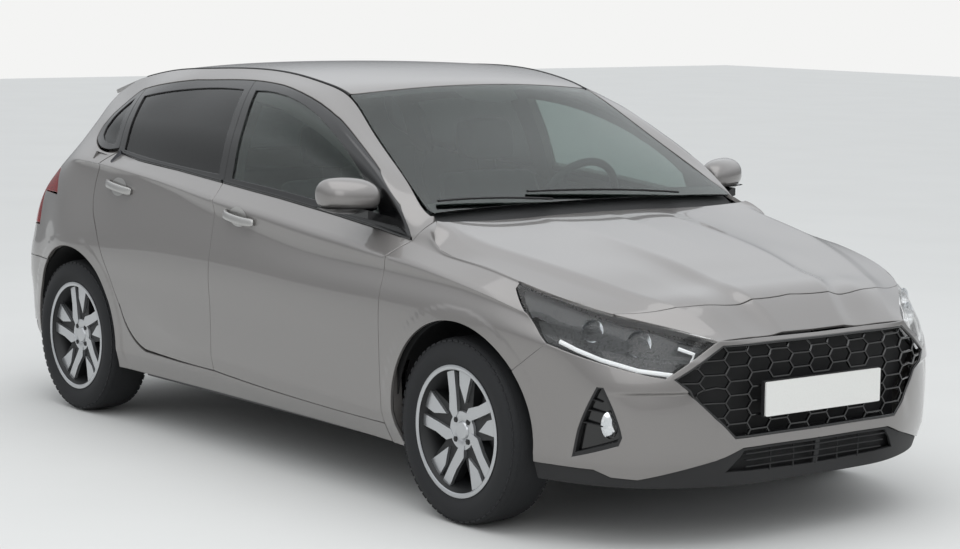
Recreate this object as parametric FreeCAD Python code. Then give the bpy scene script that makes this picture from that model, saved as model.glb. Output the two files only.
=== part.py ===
# Five-door hatchback car, left-hand drive, parked on its four wheels.
# Millimetres. +X forward, +Y to the car's left, +Z up. Origin on the ground below the middle of the car.
# The painted skin is one body form; every panel is cut from it along its own outline.
import FreeCAD, Part
import math
import os

V = FreeCAD.Vector
ORIGIN = V(0, 0, 0)
X_AXIS = V(1, 0, 0)
Y_AXIS = V(0, 1, 0)
Z_AXIS = V(0, 0, 1)

# Driving dimensions
LENGTH = 4040.0
BODY_HALF_WIDTH = 887.0
HEIGHT = 1450.0
FRONT_AXLE_X = 1190.0
REAR_AXLE_X = -1390.0
DOOR_MID_X = -100.0
TYRE_RADIUS = 310.5
TYRE_WIDTH = 195.0
WHEEL_Y = 770.0

# Panel thicknesses and gaps
SKIN = 12.0
DOOR_DEPTH = 105.0
FRAME_DEPTH = 38.0
SHUT_GAP = 6.0
SEAL_GAP = 14.0
FLANGE = 30.0
GLASS = 4.0
PANE_INSET = 9.0
SEAT_GAP = 0.3
FAR = 1400.0
OVERRUN = 20.0

# Body levels, lowest first, right half with y as half-width. Each level is one line round the car:
# nose (x, z), corner (x, y, z), wing (x, y, z), front axle (y, z), door middle (y, z),
# rear axle (y, z), tail corner (x, y, z), tail (x, z).
LEVELS = [
    ((1975, 200), (1972, 395, 200), (1765, 712, 200), (835, 200), (800, 200), (845, 200),
     (-1860, 735, 200), (-1960, 200)),
    ((1994, 290), (1988, 400, 290), (1775, 726, 290), (868, 290), (855, 290), (872, 290),
     (-1895, 765, 290), (-2005, 290)),
    ((2002, 400), (1984, 420, 400), (1775, 735, 390), (880, 350), (875, 362), (884, 470),
     (-1912, 778, 440), (-2020, 440)),
    ((2008, 530), (1980, 440, 530), (1768, 740, 520), (882, 480), (864, 460), (884, 560),
     (-1905, 780, 540), (-2020, 540)),
    ((2002, 600), (1972, 440, 600), (1745, 740, 600), (885, 600), (880, 600), (885, 650),
     (-1850, 772, 640), (-1995, 620)),
    ((1970, 668), (1950, 430, 668), (1715, 730, 690), (878, 700), (BODY_HALF_WIDTH, 700), (880, 780),
     (-1828, 766, 760), (-1988, 750)),
    ((1900, 735), (1880, 420, 735), (1660, 722, 750), (862, 784), (866, 873), (842, 1010),
     (-1798, 756, 885), (-1958, 870)),
    ((1860, 775), (1840, 415, 775), (1635, 712, 768), (852, 806), (858, 932), (826, 1040),
     (-1735, 738, 955), (-1905, 940)),
    ((1800, 840), (1780, 400, 840), (1580, 690, 830), (765, 870), (797, 993), (765, 1095),
     (-1640, 692, 1040), (-1822, 1020)),
    ((1700, 1300), (1680, 380, 1300), (1500, 620, 1300), (660, 1340), (640, 1392), (672, 1290),
     (-1600, 650, 1170), (-1738, 1180)),
    ((1650, 1400), (1630, 360, 1400), (1480, 540, 1400), (575, 1405), (565, 1432), (560, 1366),
     (-1556, 548, 1308), (-1640, 1335)),
    ((1600, 1520), (1580, 340, 1520), (1450, 480, 1520), (505, 1520), (500, 1520), (490, 1520),
     (-1500, 470, 1520), (-1560, 1520)),
]

# Upper profile of the car seen from the side, (x, z), on the centreline and at CROWN_Y.
CROWN_Y = 750.0
TOP_HALF_WIDTH = 960.0
TOP_CENTRE = {
    "nose foot": (2200, 463), "nose edge": (1970, 668), "bonnet front": (1849, 776),
    "bonnet mid": (1380, 893), "bonnet rear": (901, 968), "screen foot": (880, 975),
    "screen mid": (520, 1196), "screen head": (186, 1389), "roof front": (-120, 1440),
    "roof top": (-430, HEIGHT), "roof rear": (-1060, 1430), "tail edge": (-1640, 1350),
    "tail foot": (-2250, 1240),
}
TOP_SIDE = {
    "nose foot": (2100, 380), "nose edge": (1840, 610), "bonnet front": (1650, 735),
    "bonnet mid": (1290, 828), "bonnet rear": (900, 930), "screen foot": (856, 972),
    "screen mid": (468, 1168), "screen head": (70, 1352), "roof front": (-190, 1405),
    "roof top": (-450, 1432), "roof rear": (-1060, 1388), "tail edge": (-1560, 1280),
    "tail foot": (-2250, 1130),
}


def square_arc(apex, end):
    # An arc that crosses the centreline square at the apex; both share one plane curve.
    x0, z0 = apex
    x1, y1, z1 = end
    centre = (x1 * x1 + y1 * y1 - x0 * x0) / (2.0 * (x1 - x0))
    radius = abs(x0 - centre)
    sign = 1.0 if x0 > centre else -1.0
    half = 0.5 * math.atan2(y1, sign * (x1 - centre))
    via = (centre + sign * radius * math.cos(half), radius * math.sin(half), (z0 + z1) / 2.0)
    return via


def running_arc(start, end):
    # An arc that ends running straight along X at the end point, as a flank does beside its wheel.
    x0, y0, z0 = start
    x1, y1, z1 = end
    dx = abs(x0 - x1)
    dy = max(y1 - y0, 1.0)
    radius = (dx * dx + dy * dy) / (2.0 * dy)
    half = 0.5 * math.atan2(dx, radius - dy)
    sign = 1.0 if x0 > x1 else -1.0
    return (x1 + sign * radius * math.sin(half), y1 - radius + radius * math.cos(half), (z0 + z1) / 2.0)


def level_wire(level, inset):
    # One closed line round the right half of the car, moved inward by the inset.
    nose, corner, wing, front, middle, rear, tail_corner, tail = level
    nose = (nose[0] - inset, nose[1])
    corner = (corner[0] - inset, corner[1] - 0.3 * inset, corner[2])
    wing = (wing[0] - 0.6 * inset, wing[1] - 0.8 * inset, wing[2])
    front = (FRONT_AXLE_X, front[0] - inset, front[1])
    middle = (DOOR_MID_X, middle[0] - inset, middle[1])
    rear = (REAR_AXLE_X, rear[0] - inset, rear[1])
    tail_corner = (tail_corner[0] + 0.6 * inset, tail_corner[1] - 0.8 * inset, tail_corner[2])
    tail = (tail[0] + inset, tail[1])
    bulge = (28.0, 20.0)
    between = ((corner[0] + wing[0]) / 2.0 + bulge[0], (corner[1] + wing[1]) / 2.0 + bulge[1],
               (corner[2] + wing[2]) / 2.0)
    runs = [
        ((nose[0], 0.0, nose[1]), square_arc(nose, corner), corner),
        (corner, between, wing),
        (wing, running_arc(wing, front), front),
        (front, middle, rear),
        (rear, running_arc(tail_corner, rear), tail_corner),
        (tail_corner, square_arc(tail, tail_corner), (tail[0], 0.0, tail[1])),
    ]
    edges = []
    for run in runs:
        a, b, c = [V(p[0], -p[1], p[2]) for p in run]
        edges.append(Part.Arc(a, b, c).toShape())
    # The half runs a little past the centreline, so that a panel's cut there is its own.
    past = OVERRUN + inset
    tail_end = V(tail[0], past, tail[1])
    nose_end = V(nose[0], past, nose[1])
    edges.append(Part.makeLine(V(tail[0], 0, tail[1]), tail_end))
    edges.append(Part.makeLine(tail_end, nose_end))
    edges.append(Part.makeLine(nose_end, V(nose[0], 0, nose[1])))
    return Part.Wire(edges)


def body_form(inset):
    return Part.makeLoft([level_wire(level, inset) for level in LEVELS], True, True)


def top_wire(y, drop):
    # The profile falls away from the centreline as a parabola.
    share = (y / CROWN_Y) ** 2

    def at(name):
        x, z = TOP_CENTRE[name]
        side_x, side_z = TOP_SIDE[name]
        return V(x + share * (side_x - x), y, z + share * (side_z - z) - drop)

    foot = at("nose foot")
    back = at("tail foot")
    edges = [
        Part.makeLine(at("nose foot"), at("nose edge")),
        Part.makeLine(at("nose edge"), at("bonnet front")),
        Part.Arc(at("bonnet front"), at("bonnet mid"), at("bonnet rear")).toShape(),
        Part.makeLine(at("bonnet rear"), at("screen foot")),
        Part.Arc(at("screen foot"), at("screen mid"), at("screen head")).toShape(),
        Part.Arc(at("screen head"), at("roof front"), at("roof top")).toShape(),
        Part.Arc(at("roof top"), at("roof rear"), at("tail edge")).toShape(),
        Part.makeLine(at("tail edge"), at("tail foot")),
        Part.makeLine(back, V(back.x, y, 50)),
        Part.makeLine(V(back.x, y, 50), V(foot.x, y, 50)),
        Part.makeLine(V(foot.x, y, 50), foot),
    ]
    return Part.Wire(edges)


def top_form(drop):
    # All that lies under the roof, screen and bonnet surface, lowered by the drop.
    return Part.makeLoft([top_wire(y, drop) for y in (-TOP_HALF_WIDTH, 0.0, TOP_HALF_WIDTH)], True, False)


FORMS = {}


def form(depth):
    # The whole right half of the car, its surface moved inward by the depth.
    if depth not in FORMS:
        FORMS[depth] = body_form(depth).common(top_form(depth))
    return FORMS[depth]


def path_wire(path, place):
    # A closed line: each entry is a corner, or a pair (via, end) for an arc.
    edges = []
    first = here = path[0]
    for step in path[1:]:
        if isinstance(step[0], tuple):
            via, end = step
            edges.append(Part.Arc(place(here), place(via), place(end)).toShape())
        else:
            end = step
            edges.append(Part.makeLine(place(here), place(end)))
        here = end
    if here != first:
        edges.append(Part.makeLine(place(here), place(first)))
    return Part.Wire(edges)


def grown(wire, offset):
    # Outside corners are rounded where the line is moved outward.
    if offset == 0.0:
        return wire
    return wire.makeOffset2D(offset, 0)


def side_prism(path, offset=0.0, y0=-FAR, y1=0.0):
    # The path is (x, z), seen from the side.
    wire = grown(path_wire(path, lambda p: V(p[0], y0, p[1])), offset)
    return Part.Face(wire).extrude(V(0, y1 - y0, 0))


def plan_prism(path, offset=0.0, z0=0.0, z1=1600.0):
    # The path is (x, half-width), seen from above, on the right half.
    wire = grown(path_wire(path, lambda p: V(p[0], -p[1], z0)), offset)
    return Part.Face(wire).extrude(V(0, 0, z1 - z0))


def end_prism(path, offset=0.0, x0=0.0, x1=2200.0):
    # The path is (half-width, z), seen from the front or the back, on the right half.
    wire = grown(path_wire(path, lambda p: V(x0, -p[0], p[1])), offset)
    return Part.Face(wire).extrude(V(x1 - x0, 0, 0))


def block(x0, x1, y0, y1, z0, z1):
    return Part.makeBox(x1 - x0, y1 - y0, z1 - z0, V(x0, y0, z0))


def mirrored(shape):
    return shape.mirror(ORIGIN, Y_AXIS)


def both_halves(shape):
    half = shape.common(block(-3000, 3000, -FAR, 0, -100, 1600))
    whole = half.fuse(mirrored(half))
    return whole.removeSplitter()


def joined(shapes):
    whole = shapes[0]
    if len(shapes) > 1:
        whole = shapes[0].fuse(shapes[1:])
    return whole.removeSplitter()


# Side view outlines, (x, z)
DOOR_CUT_TOP = (-379, 1392)
DOOR_CUT_BELT = (-344, 1011)
DOOR_CUT_WAIST = (-303, 880)
DOOR_CUT_FOOT = (-303, 311)
FRONT_DOOR = [
    (790, 277), (790, 770), ((800, 850), (852, 917)), (733, 1013), ((263, 1280), DOOR_CUT_TOP),
    DOOR_CUT_BELT, ((-312, 950), DOOR_CUT_WAIST), DOOR_CUT_FOOT, ((267, 284), (790, 277)),
]
REAR_DOOR = [
    DOOR_CUT_FOOT, DOOR_CUT_WAIST, ((-312, 950), DOOR_CUT_BELT), DOOR_CUT_TOP,
    ((-800, 1378), (-1205, 1325)), (-1172, 1070), ((-1232, 950), (-1212, 822)), (-984, 471),
    ((-915, 375), (-809, 322)),
]
FRONT_PANE = [(690, 965), ((263, 1242), (-335, 1355)), (-302, 1022), ((200, 990), (690, 965))]
REAR_PANE = [(-390, 1034), (-425, 1355), ((-780, 1343), (-1160, 1296)), (-1132, 1090), ((-760, 1056), (-390, 1034))]
QUARTER_PANE = [(-1222, 1098), (-1250, 1292), ((-1300, 1258), (-1348, 1185)), (-1366, 1126)]
SIDE_SHELL = [
    (852, 212), (852, 930), (905, 985), (160, 1440), (-500, 1500), (-1500, 1460), (-2100, 1240),
    (-2100, 606), (-1395, 606), (-1060, 212),
]
SIDE_RING = [
    (850, 212), (850, 940), (905, 985), (160, 1440), (-500, 1500), (-1260, 1460), (-1300, 1000),
    (-1300, 720), (-1220, 680), (-1130, 600), (-1040, 470), (-1005, 212),
]
LAMP_REAR_TIP = (1398, 815)
LAMP_FOOT = (1600, 648)
LAMP_NOSE_FOOT = (1902, 556)
LAMP_NOSE_TIP = (1962, 669)
BUMPER_ARCH_END = (1466, 548)
FENDER = [
    (790, 206), (790, 770), ((800, 850), (852, 917)), (905, 990), (1380, 990), LAMP_REAR_TIP, LAMP_FOOT,
    BUMPER_ARCH_END, (1197, 335), (850, 206),
]
FRONT_BUMPER = [
    BUMPER_ARCH_END, LAMP_FOOT, ((1760, 600), LAMP_NOSE_FOOT), LAMP_NOSE_TIP, (1962, 720), (2100, 720),
    (2100, 150), (1500, 150), (1400, 335),
]
HEAD_LAMP = [LAMP_REAR_TIP, (1723, 780), LAMP_NOSE_TIP, LAMP_NOSE_FOOT, ((1760, 600), LAMP_FOOT)]
TAIL_LAMP = [(-1560, 880), (-1600, 985), (-2100, 960), (-2100, 740), (-1800, 740), (-1790, 860)]
REAR_BUMPER = [(-1500, 150), (-1500, 600), (-2100, 600), (-2100, 150)]
BELT_Z = 1000.0
RING_DEPTH = 55.0
LAMP_DEPTH = 70.0
SHEET = SKIN
GATE_DEPTH = 30.0
ROOF_SHEET = SKIN
SCREEN_SET = 3.0
PANEL_CORE = SCREEN_SET + GLASS

# Wheel arches, (x, z, radius)
FRONT_ARCH = (FRONT_AXLE_X + 7, 335, 343)
REAR_ARCH = (REAR_AXLE_X, 330, 352)

# Plan outlines on the right half, (x, half-width)
BONNET_CORNER = (1723, 651)
GRILLE_CORNER = (1964, 421)
BONNET_PLAN = [(1849, -900), ((1838, 330), BONNET_CORNER), ((1412, 768), (1068, 784)), ((1000, 768), (985, 745)),
               ((940, 742), (892, 718)), ((900, 400), (901, -900))]
NOSE_PLAN = [(2100, -900), (1849, -900), ((1838, 330), BONNET_CORNER), GRILLE_CORNER, (2100, 421)]
SCREEN_PLAN = [(848, -900), ((846, 400), (838, 706)), (150, 566), ((180, 300), (188, -900))]
ROOF_PLAN = [(182, -900), ((174, 300), (144, 560)), ((-500, 562), (-1330, 545)), (-1330, -900)]
COWL_PLAN = [(812, -900), (800, 690), (955, 690), (965, -900)]
ROOF_REAR_X = -1330.0
PILLAR_FOOT_Y = 712.0

# End view outlines on the right half, (half-width, z)
TAILGATE = [(-900, 606), (500, 606), ((545, 760), (560, 900)), (610, 1040), ((600, 1200), (530, 1460)), (-900, 1460)]
TAIL_PANE = [(-900, 1010), (520, 1025), ((520, 1150), (475, 1262)), (-900, 1280)]
GRILLE = [(-900, 657), (406, 657), (566, 555), (364, 358), (-900, 358)]
INTAKE = [(-900, 325), (330, 325), (395, 240), (-900, 232)]
FOG_POCKET = [(520, 505), (735, 545), (735, 300), (610, 300)]

# Running gear
ENGINE = (1050, 1560, -400, 400, 215.3, 720)
BALL_JOINT = (FRONT_AXLE_X, -722.0, 215.0)
STRUT_TOP = (FRONT_AXLE_X, -640.0, 745.0)
LINER_GROWTH = 34.0
GRILLE_SET = 20.0
GRILLE_LIP = 14.0
PLATE_SHEET = 4.0
PLATE_WIDTH = 520.0
PLATE_HEIGHT = 110.0
BEAD_RADIUS = 203.0
FLANGE_RADIUS = 219.0
RIM_HALF = 88.0
HUB_RADIUS = 66.0
DISC_RADIUS = 140.0
HUB_FACE = 5.3
FLOOR_Z = 196.7
FLOOR_PLAN = [(815, -200), (815, 700), (775, 700), (775, 770), (-1040, 770), (-1700, 690), (-1920, 560), (-1960, 300),
              (-1960, -200)]
FLOOR_SHEET = 15.0
BOOT_Z = 400.0
FIREWALL_X = 800.0
DASH_HALF_WIDTH = 640.0

# Inside
STEERING_CENTRE = (330, 370, 930)
STEERING_RADIUS = 180.0
COLUMN_TILT = 24.0
WHEEL_HUB_LENGTH = 37.0
FRONT_SEAT_X = -20.0
FRONT_SEAT_Y = 370.0
REAR_SEAT_X = -900.0

# Hinge pins of bonnet and tailgate, (x, z)
BONNET_HINGE = (845.0, 945.0)
BONNET_ARM = 8.0
GATE_HINGE = (-1270.0, 1380.0)
GATE_ARM = 16.0
GATE_ARM_Y = 150.0
# Room beside the tailgate's shoulders, which lift past the narrower rail as it opens
GATE_LIFT_ROOM = 10.0
PIN_RADIUS = 5.0


def arch_cylinder(arch, y0=-FAR, y1=0.0, grow=0.0):
    x, z, radius = arch
    return Part.makeCylinder(radius + grow, y1 - y0, V(x, y0, z), Y_AXIS)


def shell(region, depth, start=0.0):
    return form(start).common(region).cut(form(depth))


def door(outline, pane):
    # A thin outer skin laps over the thicker inner door, which is set in all round for the seal.
    skin = shell(side_prism(outline, -SHUT_GAP / 2), SKIN)
    core = side_prism(outline, -FLANGE)
    lower = core.common(block(-FAR, FAR, -FAR, 0, 0, BELT_Z + 40))
    lower = shell(lower, DOOR_DEPTH, SKIN)
    upper = shell(core, FRAME_DEPTH, SKIN)
    body = skin.fuse([lower, upper]).removeSplitter()
    return body.cut([side_prism(pane), plan_prism(SCREEN_PLAN, SEAL_GAP, 700)])


def door_pane(pane):
    return shell(side_prism(pane, -SEAT_GAP), PANE_INSET + GLASS, PANE_INSET)


def side_body():
    # Pillars, sill and rear quarter in one pressing, thick round the door openings and stepped for the seals.
    doors = (FRONT_DOOR, REAR_DOOR)
    body = form(0.0).common(side_prism(SIDE_SHELL))
    body = body.cut([form(RING_DEPTH), plan_prism(ROOF_PLAN, SEAT_GAP, 900), plan_prism(SCREEN_PLAN, 2.0, 900)])
    body = body.cut(form(SKIN).cut(side_prism(SIDE_RING)))
    body = body.cut([side_prism(path, SEAL_GAP - FLANGE) for path in doors])
    body = body.cut([side_prism(path, SHUT_GAP / 2).cut(form(SKIN + SEAT_GAP)) for path in doors])
    # The opening door's frame dips as it leaves the raked pillar, so the seal face there lies deeper.
    pillar = block(120, FIREWALL_X, -FAR, 0, BELT_Z - 60, FAR)
    body = body.cut(side_prism(FRONT_DOOR, SHUT_GAP / 2).common(pillar).cut(form(GATE_DEPTH)))
    body = body.cut([side_prism(QUARTER_PANE), end_prism(TAILGATE, SHUT_GAP / 2, -2200, ROOF_REAR_X),
                     arch_cylinder(REAR_ARCH), side_prism(TAIL_LAMP, SEAT_GAP)])
    shoulder = block(-1480, ROOF_REAR_X, -FAR, 0, 1270, FAR)
    body = body.cut(end_prism(TAILGATE, SHUT_GAP / 2 + GATE_LIFT_ROOM, -2200, ROOF_REAR_X).common(shoulder))
    ahead = side_prism(FENDER, SHUT_GAP / 2).cut(block(-FAR, FENDER[0][0] - 8, -FAR, 0, 0, FAR))
    cowl_bay = block(FIREWALL_X, FAR, -PILLAR_FOOT_Y, 0, 800, 1100)
    body = body.cut([ahead.cut(form(SKIN + SEAT_GAP)), plan_prism(BONNET_PLAN, SHUT_GAP / 2, 700), cowl_bay])
    return body.fuse(hinge_pin(BONNET_HINGE, PILLAR_FOOT_Y - BONNET_ARM - 1.0, PILLAR_FOOT_Y + 5.0))


def hinge_pin(hinge, y_in, y_out):
    x, z = hinge
    return Part.makeCylinder(PIN_RADIUS, y_out - y_in, V(x, -y_out, z), Y_AXIS)


def hinge_eye(hinge, y_in, y_out):
    # The hole that turns on the pin, with running clearance.
    x, z = hinge
    return Part.makeCylinder(PIN_RADIUS + SEAT_GAP, y_out - y_in, V(x, -y_out, z), Y_AXIS)


def quarter_pane():
    return shell(side_prism(QUARTER_PANE, -SEAT_GAP), PANE_INSET + GLASS, PANE_INSET)


def fender():
    # The cowl bay leaves room for the bonnet's hinge arm.
    panel = shell(side_prism(FENDER, -SHUT_GAP / 2), SKIN)
    bay = block(FIREWALL_X, FAR, -PILLAR_FOOT_Y - SHUT_GAP, 0, 800, 1100)
    return panel.cut([arch_cylinder(FRONT_ARCH), plan_prism(BONNET_PLAN, SHUT_GAP / 2, 700), bay]).removeSplitter()


def bonnet():
    panel = shell(plan_prism(BONNET_PLAN, -SHUT_GAP / 2, 650), SHEET)
    x, z = BONNET_HINGE
    y_out = PILLAR_FOOT_Y - SEAT_GAP
    y_in = y_out - BONNET_ARM
    path = [(x - 10, z - 10), (x - 10, z + 8), (x + 10, z + 10), (x + 62, z + 20), (x + 150, z + 5), (x + 150, z - 25)]
    arm = side_prism(path, 0.0, -y_out, -y_in).common(form(PANEL_CORE)).cut(hinge_eye(BONNET_HINGE, y_in - 1, y_out + 1))
    return both_halves(panel.fuse(arm))


def nose_zone(offset=0.0):
    return plan_prism(NOSE_PLAN, offset, 600)


def front_bumper():
    region = side_prism(FRONT_BUMPER, -SEAT_GAP).fuse([nose_zone(-SEAT_GAP), end_prism(GRILLE, GRILLE_LIP, 1800)])
    panel = shell(region, SHEET)
    panel = panel.cut([arch_cylinder(FRONT_ARCH), plan_prism(BONNET_PLAN, SHUT_GAP / 2, 650),
                       end_prism(GRILLE, 0.0, 1700), end_prism(INTAKE, 0.0, 1700),
                       end_prism(FOG_POCKET, 0.0, 1500)])
    return both_halves(panel)


def cup(path, wall, lip, floor, back, x0):
    # A tray set in an opening of the bumper: side walls and a back.
    outer = shell(end_prism(path, -SEAT_GAP, x0), back, lip)
    hollow = shell(end_prism(path, -wall, x0), floor, 0.0)
    return outer.cut(hollow)


def slats(path, wall, front, back, x0, z_low, z_step, count, height):
    bars = []
    for i in range(count):
        z = z_low + i * z_step
        bars.append(shell(end_prism(path, -wall + 1.0, x0).common(block(x0, 2200, -FAR, 0, z, z + height)),
                          back, front))
    return bars


def front_grille():
    tray = cup(GRILLE, 10.0, PANE_INSET, RING_DEPTH, LAMP_DEPTH, 1700)
    return both_halves(joined([tray] + slats(GRILLE, 10.0, GRILLE_SET, LAMP_DEPTH, 1700, 385, 40, 7, 8)))


def lower_intake():
    tray = cup(INTAKE, 8.0, PANE_INSET, RING_DEPTH, LAMP_DEPTH, 1700)
    return both_halves(joined([tray] + slats(INTAKE, 8.0, GRILLE_SET, LAMP_DEPTH, 1700, 258, 30, 2, 8)))


def fog_surround():
    return cup(FOG_POCKET, 10.0, SCREEN_SET, RING_DEPTH, LAMP_DEPTH, 1500)


def head_lamp():
    lamp = shell(side_prism(HEAD_LAMP, -SEAT_GAP), LAMP_DEPTH)
    return lamp.cut([nose_zone(SEAT_GAP), plan_prism(BONNET_PLAN, SHUT_GAP / 2, 600),
                     end_prism(GRILLE, GRILLE_LIP + SEAT_GAP, 1700)])


def tail_lamp():
    lamp = shell(side_prism(TAIL_LAMP, -SEAT_GAP), LAMP_DEPTH)
    return lamp.cut(end_prism(TAILGATE, SHUT_GAP / 2, -2200, ROOF_REAR_X))


def rear_bumper():
    panel = shell(side_prism(REAR_BUMPER, -SEAT_GAP), SHEET)
    return both_halves(panel.cut(arch_cylinder(REAR_ARCH)))


def tailgate():
    panel = shell(end_prism(TAILGATE, -SHUT_GAP / 2, -2200, ROOF_REAR_X - SHUT_GAP), GATE_DEPTH)
    return both_halves(panel.cut(end_prism(TAIL_PANE, 0.0, -2200, -1500)).fuse(gate_arm()))


def gate_arm():
    # A goose-neck that reaches round the roof's rear edge to the hinge pin.
    x, z = GATE_HINGE
    y_in = GATE_ARM_Y - GATE_ARM / 2
    y_out = GATE_ARM_Y + GATE_ARM / 2
    path = [(x + 9, z + 9), (x + 9, z - 82), (x - 100, z - 82), (x - 100, z + 40), (x - 78, z + 40), (x - 78, z - 66),
            (x - 9, z - 66), (x - 9, z + 9)]
    arm = side_prism(path, 0.0, -y_out, -y_in).common(form(SKIN))
    return arm.cut(hinge_eye(GATE_HINGE, y_in - 1, y_out + 1))


def gate_lug():
    # Two ears under the roof and the pin through them.
    x, z = GATE_HINGE
    y_in = GATE_ARM_Y - GATE_ARM / 2 - SEAT_GAP
    y_out = GATE_ARM_Y + GATE_ARM / 2 + SEAT_GAP
    ears = block(x - 10, x + 10, -y_out - 6, -y_in + 6, z - 10, z + 60).cut(
        block(x - 40, x + 40, -y_out, -y_in, z - 40, z + 14))
    return ears.common(form(PANEL_CORE)).fuse(hinge_pin(GATE_HINGE, y_in - 6, y_out + 6))


def tailgate_pane():
    return both_halves(shell(end_prism(TAIL_PANE, -SEAT_GAP, -2200, -1500), PANE_INSET + GLASS, PANE_INSET))


def roof_panel():
    return both_halves(shell(plan_prism(ROOF_PLAN, 0.0, 1000), ROOF_SHEET).fuse(gate_lug()))


def windscreen():
    return both_halves(shell(plan_prism(SCREEN_PLAN, 0.0, 900), PANEL_CORE, SCREEN_SET))


def cowl_panel():
    return both_halves(shell(plan_prism(COWL_PLAN, 0.0, 800), GATE_DEPTH, GRILLE_SET))


def floor_pan():
    # Floor with its tunnel, the kick-up over the rear axle, the boot floor and the firewall.
    top = FLOOR_Z + FLOOR_SHEET
    firewall = FIREWALL_X + FLOOR_SHEET
    profile = [(FIREWALL_X, 940), (FIREWALL_X, top), (-960, top), (-1090, BOOT_Z), (-1985, BOOT_Z),
               (-1985, BOOT_Z - FLOOR_SHEET), (-1082, BOOT_Z - FLOOR_SHEET), (-952, FLOOR_Z), (firewall, FLOOR_Z),
               (firewall, 940)]
    sheet = side_prism(profile, 0.0, -900.0, 0.0).common(plan_prism(FLOOR_PLAN, 0.0, 100))
    wheel_house = arch_cylinder(REAR_ARCH, -900.0, -560.0, 8.0)
    tunnel = block(-1020, FIREWALL_X, -110, 10, FLOOR_Z, FLOOR_Z + 120)
    tunnel_inside = block(-1021, FIREWALL_X + 20, -95, 11, FLOOR_Z - 1, FLOOR_Z + 105)
    sheet = sheet.fuse(tunnel).cut([wheel_house, tunnel_inside])
    return both_halves(sheet)


def rear_arch_liner():
    x, z, radius = REAR_ARCH
    outer = arch_cylinder(REAR_ARCH, -845.0, -560.0, 7.7)
    inner = arch_cylinder(REAR_ARCH, -846.0, -572.0, 0.3)
    half = block(x - 500, x + 500, -900, -500, 260, 900)
    axle_gap = block(x - 150, x + 500, -612, -540, 0, 420)
    return outer.cut([inner, axle_gap]).common(half).common(form(SKIN + SEAT_GAP))


def front_arch_liner():
    # Wider than the lip, so that the steered tyre clears it; a flange runs back out to the lip.
    x, z, radius = FRONT_ARCH
    wall = 4.0
    outer = arch_cylinder(FRONT_ARCH, -852.0, -480.0, LINER_GROWTH + wall)
    inner = arch_cylinder(FRONT_ARCH, -846.0, -484.0, LINER_GROWTH)
    mouth = arch_cylinder(FRONT_ARCH, -853.0, -845.0)
    inboard = arch_cylinder(FRONT_ARCH, -500.0, -479.0, -90.0)
    zone = block(x - 500, x + 500, -900, -400, 320, 900).cut([
        block(0, FIREWALL_X + FLOOR_SHEET + 15.0, -900, 0, 0, 900), block(0, SIDE_SHELL[0][0] + 6, -900, -798, 0, 900)])
    liner = outer.cut([inner, mouth, inboard]).common(zone).common(form(SKIN + SEAT_GAP))
    slot = block(x - 80, x + 80, -720, -440, 480, 900)
    return liner.cut([slot, form(0.0).cut(form(LAMP_DEPTH + SEAT_GAP)).common(block(1300, 1800, -900, 0, 560, 900))])


def spin(profile, centre):
    # Turn a closed (y, r) profile about the wheel's axle; y is positive towards the outside.
    x, y, z = centre
    points = [V(x, y + p[0], z + p[1]) for p in profile]
    wire = Part.makePolygon(points + [points[0]])
    return Part.Face(wire).revolve(V(x, y, z), Y_AXIS, 360.0)


def tyre(centre):
    half = TYRE_WIDTH / 2
    lip = FLANGE_RADIUS + SEAT_GAP
    profile = [(-84, BEAD_RADIUS), (-84, lip), (-half + 4, 236), (-half, 262), (-half + 7, 290), (-half + 20, 305),
               (0, TYRE_RADIUS), (half - 20, 305), (half - 7, 290), (half, 262), (half - 4, 236), (84, lip),
               (84, BEAD_RADIUS), (74, BEAD_RADIUS),
               (84, 245), (70, 292), (0, 298), (-70, 292), (-84, 245), (-74, BEAD_RADIUS)]
    return spin(profile, centre)


def rim(centre):
    # Drop-centre barrel, hub and five paired spokes of a left wheel.
    x, y, z = centre
    barrel = [(-RIM_HALF, FLANGE_RADIUS), (-RIM_HALF, 205), (-74, 196), (-30, 178), (20, 178), (60, 196), (RIM_HALF, 208),
              (RIM_HALF, FLANGE_RADIUS), (84.5, FLANGE_RADIUS), (84.5, BEAD_RADIUS), (60, BEAD_RADIUS), (20, 186),
              (-30, 186), (-60, BEAD_RADIUS), (-84.5, BEAD_RADIUS), (-84.5, FLANGE_RADIUS)]
    solids = [spin(barrel, centre)]
    low = 50.0
    depth = 34.0
    hub = Part.makeCylinder(HUB_RADIUS, depth, V(x, y + low, z), Y_AXIS)
    solids.append(hub)
    for i in range(5):
        angle = 72.0 * i
        blade = Part.makePolygon([V(x - 34, y + low, z + 40), V(x + 30, y + low, z + 40), V(x + 58, y + low, z + 192),
                                  V(x + 26, y + low, z + 199), V(x + 8, y + low, z + 120), V(x - 8, y + low, z + 201),
                                  V(x - 40, y + low, z + 197), V(x - 34, y + low, z + 40)])
        spoke = Part.Face(blade).extrude(V(0, depth - 8, 0))
        spoke.rotate(V(x, y, z), Y_AXIS, angle)
        solids.append(spoke)
    return joined(solids)


def brake_disc(centre):
    x, y, z = centre
    disc = Part.makeCylinder(DISC_RADIUS, 22, V(x, y - 5, z), Y_AXIS)
    bell = Part.makeCylinder(HUB_RADIUS, 44.0, V(x, y + 6, z), Y_AXIS)
    return disc.fuse(bell).removeSplitter()


def between(a, b, radius):
    start = V(*a)
    run = V(*b).sub(start)
    return Part.makeCylinder(radius, run.Length, start, run)


def steer_point(z):
    # Where the steering axis passes a height; it leans in from the ball joint to the strut's top.
    share = (z - BALL_JOINT[2]) / (STRUT_TOP[2] - BALL_JOINT[2])
    return tuple(a + share * (b - a) for a, b in zip(BALL_JOINT, STRUT_TOP))


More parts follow.
